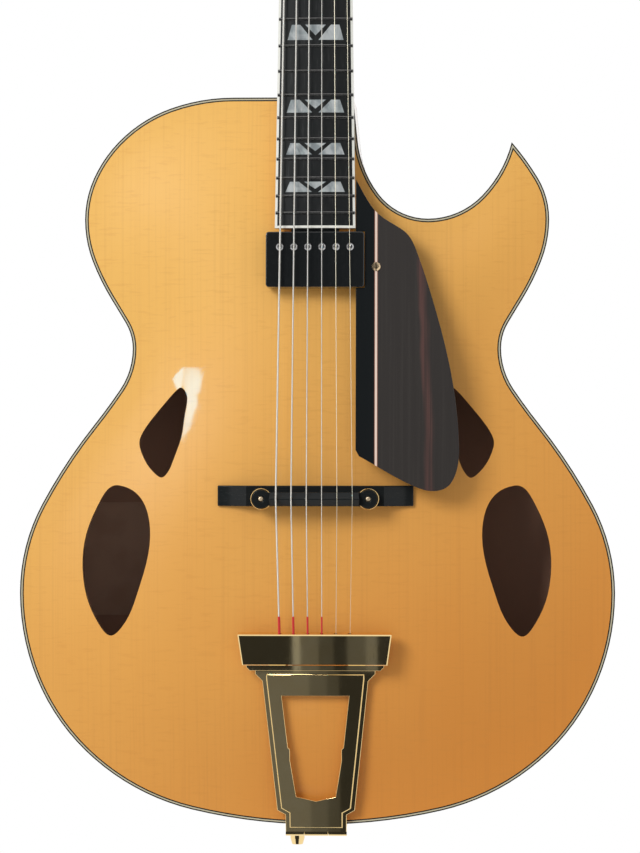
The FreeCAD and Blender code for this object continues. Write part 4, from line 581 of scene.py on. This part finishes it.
# Pickup: a closed black cover with six slotted pole screws, held at the end of the fingerboard by a rail.
# Inside are two coils wrapped in cloth tape, a bar magnet and a base plate.
dress(black_plastic, "pickup_cover")
POLE_EDGE = 0.0003
eased("pickup_pole_screws", steel, POLE_EDGE, joined=True)
dress(steel, "pickup_magnet", "pickup_base_plate")
coil, shader, place = new_finish("coil_tape")
weave = streaks(place, (800, 90, 90), 2.0)
tint(weave, (0.010, 0.010, 0.010), (0.022, 0.021, 0.020)).feed(shader, "Base Color")
(0.6 + weave * 0.2).feed(shader, "Roughness")
dress(coil, "pickup_coils")
dress(ebony, "pickup_rail")


# Pickguard: two plates of dark streaked wood, carried on two feet. The plate beside the strings is painted
# blacker and bluer: painted shade that stands in for its darker reflection.
# One brown streak runs down the outer plate, and a single slotted screw fixes it.
guard_wood, shader, place = new_finish("guard_wood", Coat_Roughness=0.25, Specular_IOR_Level=0.25)
low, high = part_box("pickguard_strip")
strip_middle = (low.x + high.x) / 2
STREAK_WANDER = 0.012
STREAK_LEAN = 0.03
STREAK_BEGINS = (0.0905, 0.0935)
STREAK_ENDS = (0.0945, 0.0995)
lines = streaks(place, (520, 60, 6), 3.0, 0.2)
wander = streaks(place, (6, 6, 14), 2.0)
across = axis(place, "X") + wander * STREAK_WANDER + axis(place, "Z") * STREAK_LEAN
streak = between(across, *STREAK_BEGINS) * (1 - between(across, *STREAK_ENDS))
dark = tint(between(lines, 0.45, 0.75) * 0.6, (0.031, 0.026, 0.0235), (0.041, 0.035, 0.031))
dark = tint(streak * (0.35 + between(lines, 0.4, 0.6) * 0.5), dark, (0.105, 0.047, 0.040))
# Painted shade: the plate beside the strings gets a blacker, bluer colour than the outer plate.
painted_dark_plate = 1 - between(axis(place, "X"), strip_middle - 0.002, strip_middle)
tint(painted_dark_plate, dark, (0.0105, 0.0125, 0.0135)).feed(shader, "Base Color")
(0.38 + lines * 0.12 - painted_dark_plate * 0.25).feed(shader, "Roughness")
(0.2 - painted_dark_plate * 0.2).feed(shader, "Coat Weight")
relief(shader, lines, 0.00001)
GUARD_EDGE = 0.0005
eased("pickguard", guard_wood, GUARD_EDGE, joined=True)
dress(ebony, "pickguard_feet")
SLOT_HALF = (0.00036, 0.00042)
SLOT_DEPTH = (0.0005, 0.0008)
low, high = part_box("pickguard_screw")
screw_gold, shader, place = new_finish("screw_gold", Metallic=1.0)
wear = streaks(place, (700, 700, 700), 3.0)
beside_slot = between(place.sum("ABSOLUTE", axis(place, "X") - (low.x + high.x) / 2, 0.0), *SLOT_HALF)
# The inside of the slot is painted near-black: painted shade in the recess.
slot_shade = between(axis(place, "Y") - low.y, *SLOT_DEPTH) * (1 - beside_slot)
plated = tint(wear, (0.80, 0.58, 0.33), (0.92, 0.72, 0.48))
tint(slot_shade, plated, (0.03, 0.02, 0.012)).feed(shader, "Base Color")
(0.2 + wear * 0.16 + slot_shade * 0.3).feed(shader, "Roughness")
dress(screw_gold, "pickguard_screw")


# Pickguard strip: a thin line of pale wood between two reddish veneers, let into the plate along the strings.
# It is sanded flush with the plate and shares its satin finish.
VENEER_BEGINS = (0.0006, 0.0009)
pale_line, shader, place = new_finish("pale_line", Coat_Weight=0.2, Coat_Roughness=0.2)
lines = streaks(place, (900, 200, 20), 3.0)
aside = place.sum("ABSOLUTE", axis(place, "X") - strip_middle, 0.0)
veneer = between(aside, *VENEER_BEGINS)
pale = tint(lines, (0.76, 0.56, 0.45), (0.88, 0.73, 0.62))
tint(veneer, pale, (0.25, 0.085, 0.05)).feed(shader, "Base Color")
(0.34 + lines * 0.15).feed(shader, "Roughness")
dress(pale_line, "pickguard_strip")


# Strings: two plain steel strings and four wound ones, from the tailpiece over saddle and nut to the posts.
# Each run between two rests is a length of wire of its own here. The wound ones are steel wire wrapped in
# flat turns, which show as fine ridges.
REST_APART = 0.02
WIRE_SIDES = 16


def string_paths(node):
    """The rests of each string of a node, from its ball to its post, and its radius."""
    shape = bmesh.new()
    shape.from_mesh(frame["nodes"][node].data)
    bmesh.ops.remove_doubles(shape, verts=shape.verts, dist=MERGED)
    left = set(shape.verts)
    found = []
    while left:
        island = [left.pop()]
        for corner in island:
            near = {edge.other_vert(corner) for edge in corner.link_edges} & left
            island.extend(near)
            left -= near
        island.sort(key=lambda corner: corner.co.z)
        rests = [[island[0].co.copy()]]
        for corner in island[1:]:
            if corner.co.z - rests[-1][-1].z > REST_APART:
                rests.append([])
            rests[-1].append(corner.co.copy())
        path = [sum(rest, Vector()) / len(rest) for rest in rests]
        found.append((path, min((corner - path[1]).length for corner in rests[1])))
    shape.free()
    return sorted(found, key=lambda item: item[0][1].x)


def new_tree(name, **inputs):
    """An empty node tree with named inputs, and a way to reach them."""
    tree = bpy.data.node_groups.new(name, "GeometryNodeTree")
    for label, kind in inputs.items():
        tree.interface.new_socket(label, in_out="INPUT", socket_type="NodeSocket" + kind)
    tree.interface.new_socket("Made", in_out="OUTPUT", socket_type="NodeSocketGeometry")
    start = tree.nodes.new("NodeGroupInput")
    return tree, {label: Wire(tree, start.outputs[label]) for label in inputs}


def wire_from(curve, radius, finish):
    """Draws a round section along a curve and keeps the length run so far as an attribute."""
    length = Wire(curve.tree, curve.node("GeometryNodeSplineParameter").socket.node.outputs["Length"])
    marked = curve.node("GeometryNodeStoreNamedAttribute", {"data_type": "FLOAT", "domain": "POINT"},
                        {"Geometry": curve, "Name": "along", "Value": length})
    section = curve.node("GeometryNodeCurvePrimitiveCircle", {}, {"Resolution": WIRE_SIDES, "Radius": radius})
    solid = curve.node("GeometryNodeCurveToMesh", {},
                       {"Curve": marked, "Profile Curve": section, "Fill Caps": True})
    smooth = solid.node("GeometryNodeSetShadeSmooth", {}, {"Geometry": solid})
    whole = smooth.node("GeometryNodeRealizeInstances", {}, {"Geometry": smooth})
    done = whole.node("GeometryNodeSetMaterial", {}, {"Geometry": whole, "Material": finish})
    done.tree.links.new(done.socket, done.tree.nodes.new("NodeGroupOutput").inputs[0])


straight_wire, given = new_tree("straight_wire", Path="Geometry", Radius="Float", Steps="Int",
                                Finish="Material")
route = given["Path"].node("GeometryNodeMeshToCurve", {}, {"Mesh": given["Path"]})
route = route.node("GeometryNodeResampleCurve", {"mode": "COUNT"}, {"Curve": route, "Count": given["Steps"]})
wire_from(route, given["Radius"], given["Finish"])


def grown(name, tree, points, **values):
    """A plain mesh object made by a node tree from a line of points."""
    line = bpy.data.meshes.new(name + "_line")
    line.from_pydata(points, [(n, n + 1) for n in range(len(points) - 1)], [])
    piece = bpy.data.objects.new(name, line)
    bpy.context.scene.collection.objects.link(piece)
    maker = piece.modifiers.new(name, "NODES")
    maker.node_group = tree
    for label, value in values.items():
        maker[tree.interface.items_tree[label].identifier] = value
    result = piece.evaluated_get(bpy.context.evaluated_depsgraph_get())
    mesh = bpy.data.meshes.new_from_object(result)
    piece.modifiers.remove(maker)
    piece.data = mesh
    return piece


plain_wire, shader, place = new_finish("plain_wire", Metallic=1.0)
tone = streaks(place, (50, 50, 30), 2.0)
tint(tone, (0.88, 0.80, 0.60), (0.96, 0.90, 0.72)).feed(shader, "Base Color")
(0.30 + tone * 0.1).feed(shader, "Roughness")
wound_wire, shader, place = new_finish("wound_wire", Metallic=1.0)
tone = streaks(place, (50, 50, 30), 2.0)
tint(tone, (0.62, 0.60, 0.55), (0.74, 0.72, 0.67)).feed(shader, "Base Color")
(0.34 + tone * 0.12).feed(shader, "Roughness")
TURNS_PER_METRE = 2600
run = place.node("ShaderNodeAttribute", {"attribute_name": "along"}, {}, 2)
relief(shader, run.sum("SINE", run * (math.tau * TURNS_PER_METRE), 0.0), 0.00003)

JOIN_AT = 0.72
SILK_LENGTH = 0.0322
BALL_RADIUS = 0.0019
BALL_LENGTH = 0.0036
TAIL_STEPS = 24
SOUNDING_STEPS = 96
HEAD_STEPS = 8
strings = [(path, radius, "wound") for path, radius in string_paths("wound_strings")]
strings += [(path, radius, "plain") for path, radius in string_paths("plain_strings")]
for number, (path, radius, kind) in zip(range(6, 0, -1), strings):
    ball, saddle, nut, post = path
    finish = wound_wire if kind == "wound" else plain_wire
    middle = ball.lerp(saddle, JOIN_AT)
    clear_of_silk = ball + (saddle - ball).normalized() * SILK_LENGTH
    runs = (("tail", (ball, middle), ("tailpiece", "guitar"), clear_of_silk, TAIL_STEPS),
            ("reach", (middle, saddle), ("guitar", "saddle"), middle, TAIL_STEPS),
            ("sounding", (saddle, nut), ("saddle", "guitar"), saddle, SOUNDING_STEPS))
    pieces = []
    for part, ends, bodies, bend_from, steps in runs:
        piece = grown("string_%d_%s" % (number, part), straight_wire, ends,
                      Radius=radius, Steps=steps, Finish=finish)
        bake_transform(piece)
        pieces.append(piece)
    head = grown("string_%d_head" % number, straight_wire, (nut, post),
                 Radius=radius, Steps=HEAD_STEPS, Finish=finish)
    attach(head, "guitar")
    pieces.append(head)
    half = (saddle - ball).normalized() * (BALL_LENGTH / 2)
    end = grown("string_%d_ball" % number, straight_wire, (ball - half, ball + half),
                Radius=BALL_RADIUS, Steps=2, Finish=plain_wire)
    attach(end, "tailpiece")
    pieces.append(end)
    for piece in pieces:
        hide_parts(kind + "_strings")
        "string_wound" if kind == "wound" else "string_steel"


# Silk: red thread wrapped over the tail ends of the wound strings, from the ball to just above the bar.
# It keeps the windings from working loose where the string bends.
silk_thread, shader, place = new_finish("silk_thread", Sheen_Weight=0.3)
run = place.node("ShaderNodeAttribute", {"attribute_name": "along"}, {}, 2)
THREADS_PER_METRE = 3600
thread = run.sum("SINE", run * (math.tau * THREADS_PER_METRE), 0.0)
fuzz = streaks(place, (1500, 1500, 1500), 2.0)
tint(fuzz, (0.62, 0.008, 0.010), (0.80, 0.022, 0.020)).feed(shader, "Base Color")
(0.55 + fuzz * 0.2).feed(shader, "Roughness")
relief(shader, thread, 0.00004)
SILK_THICKNESS = 0.0003
SILK_STEPS = 12
for number, (path, radius, kind) in zip(range(6, 0, -1), strings):
    if kind == "wound":
        ball, saddle = path[:2]
        top_end = ball + (saddle - ball).normalized() * SILK_LENGTH
        sleeve = grown("string_%d_silk" % number, straight_wire, (ball, top_end),
                       Radius=radius + SILK_THICKNESS, Steps=SILK_STEPS, Finish=silk_thread)
        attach(sleeve, "tailpiece")


# Turns on the posts: the ends of the strings wound round the tuning posts, below the point where each one
# arrives. They lie side by side as the player wound them on.
POST_RADIUS = 0.0031
TURNS = 3.0
TURN_STEPS = 32
coiled_wire, given = new_tree("coiled_wire", Path="Geometry", Turns="Float", Wide="Float", Tall="Float",
                              Radius="Float", Place="Vector", Lean="Rotation", Finish="Material")
coil_curve = given["Path"].node("GeometryNodeCurveSpiral", {}, {
    "Resolution": TURN_STEPS, "Rotations": given["Turns"], "Start Radius": given["Wide"],
    "End Radius": given["Wide"], "Height": given["Tall"]})
coil_curve = coil_curve.node("GeometryNodeTransform", {}, {
    "Geometry": coil_curve, "Translation": given["Place"], "Rotation": given["Lean"]})
wire_from(coil_curve, given["Radius"], given["Finish"])
for number, (path, radius, kind) in zip(range(6, 0, -1), strings):
    joint = next(joint for joint in frame["joints"] if joint["child"] == "post_%d" % number)
    centre = Vector(joint["pos_m"])
    out = Vector(joint["axis"]).normalized()
    if out.y > 0:
        out = -out
    arrives = centre + out * (path[3] - centre).dot(out)
    tall = 2 * radius * TURNS
    coil_piece = grown("string_%d_turns" % number, coiled_wire, (arrives, arrives + out), Turns=TURNS,
                       Wide=POST_RADIUS + radius, Tall=tall, Radius=radius, Place=arrives - out * tall,
                       Lean=out.to_track_quat("Z", "Y").to_euler(),
                       Finish=wound_wire if kind == "wound" else plain_wire)
    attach(coil_piece, "post_%d" % number)
    "string_wound" if kind == "wound" else "string_steel"
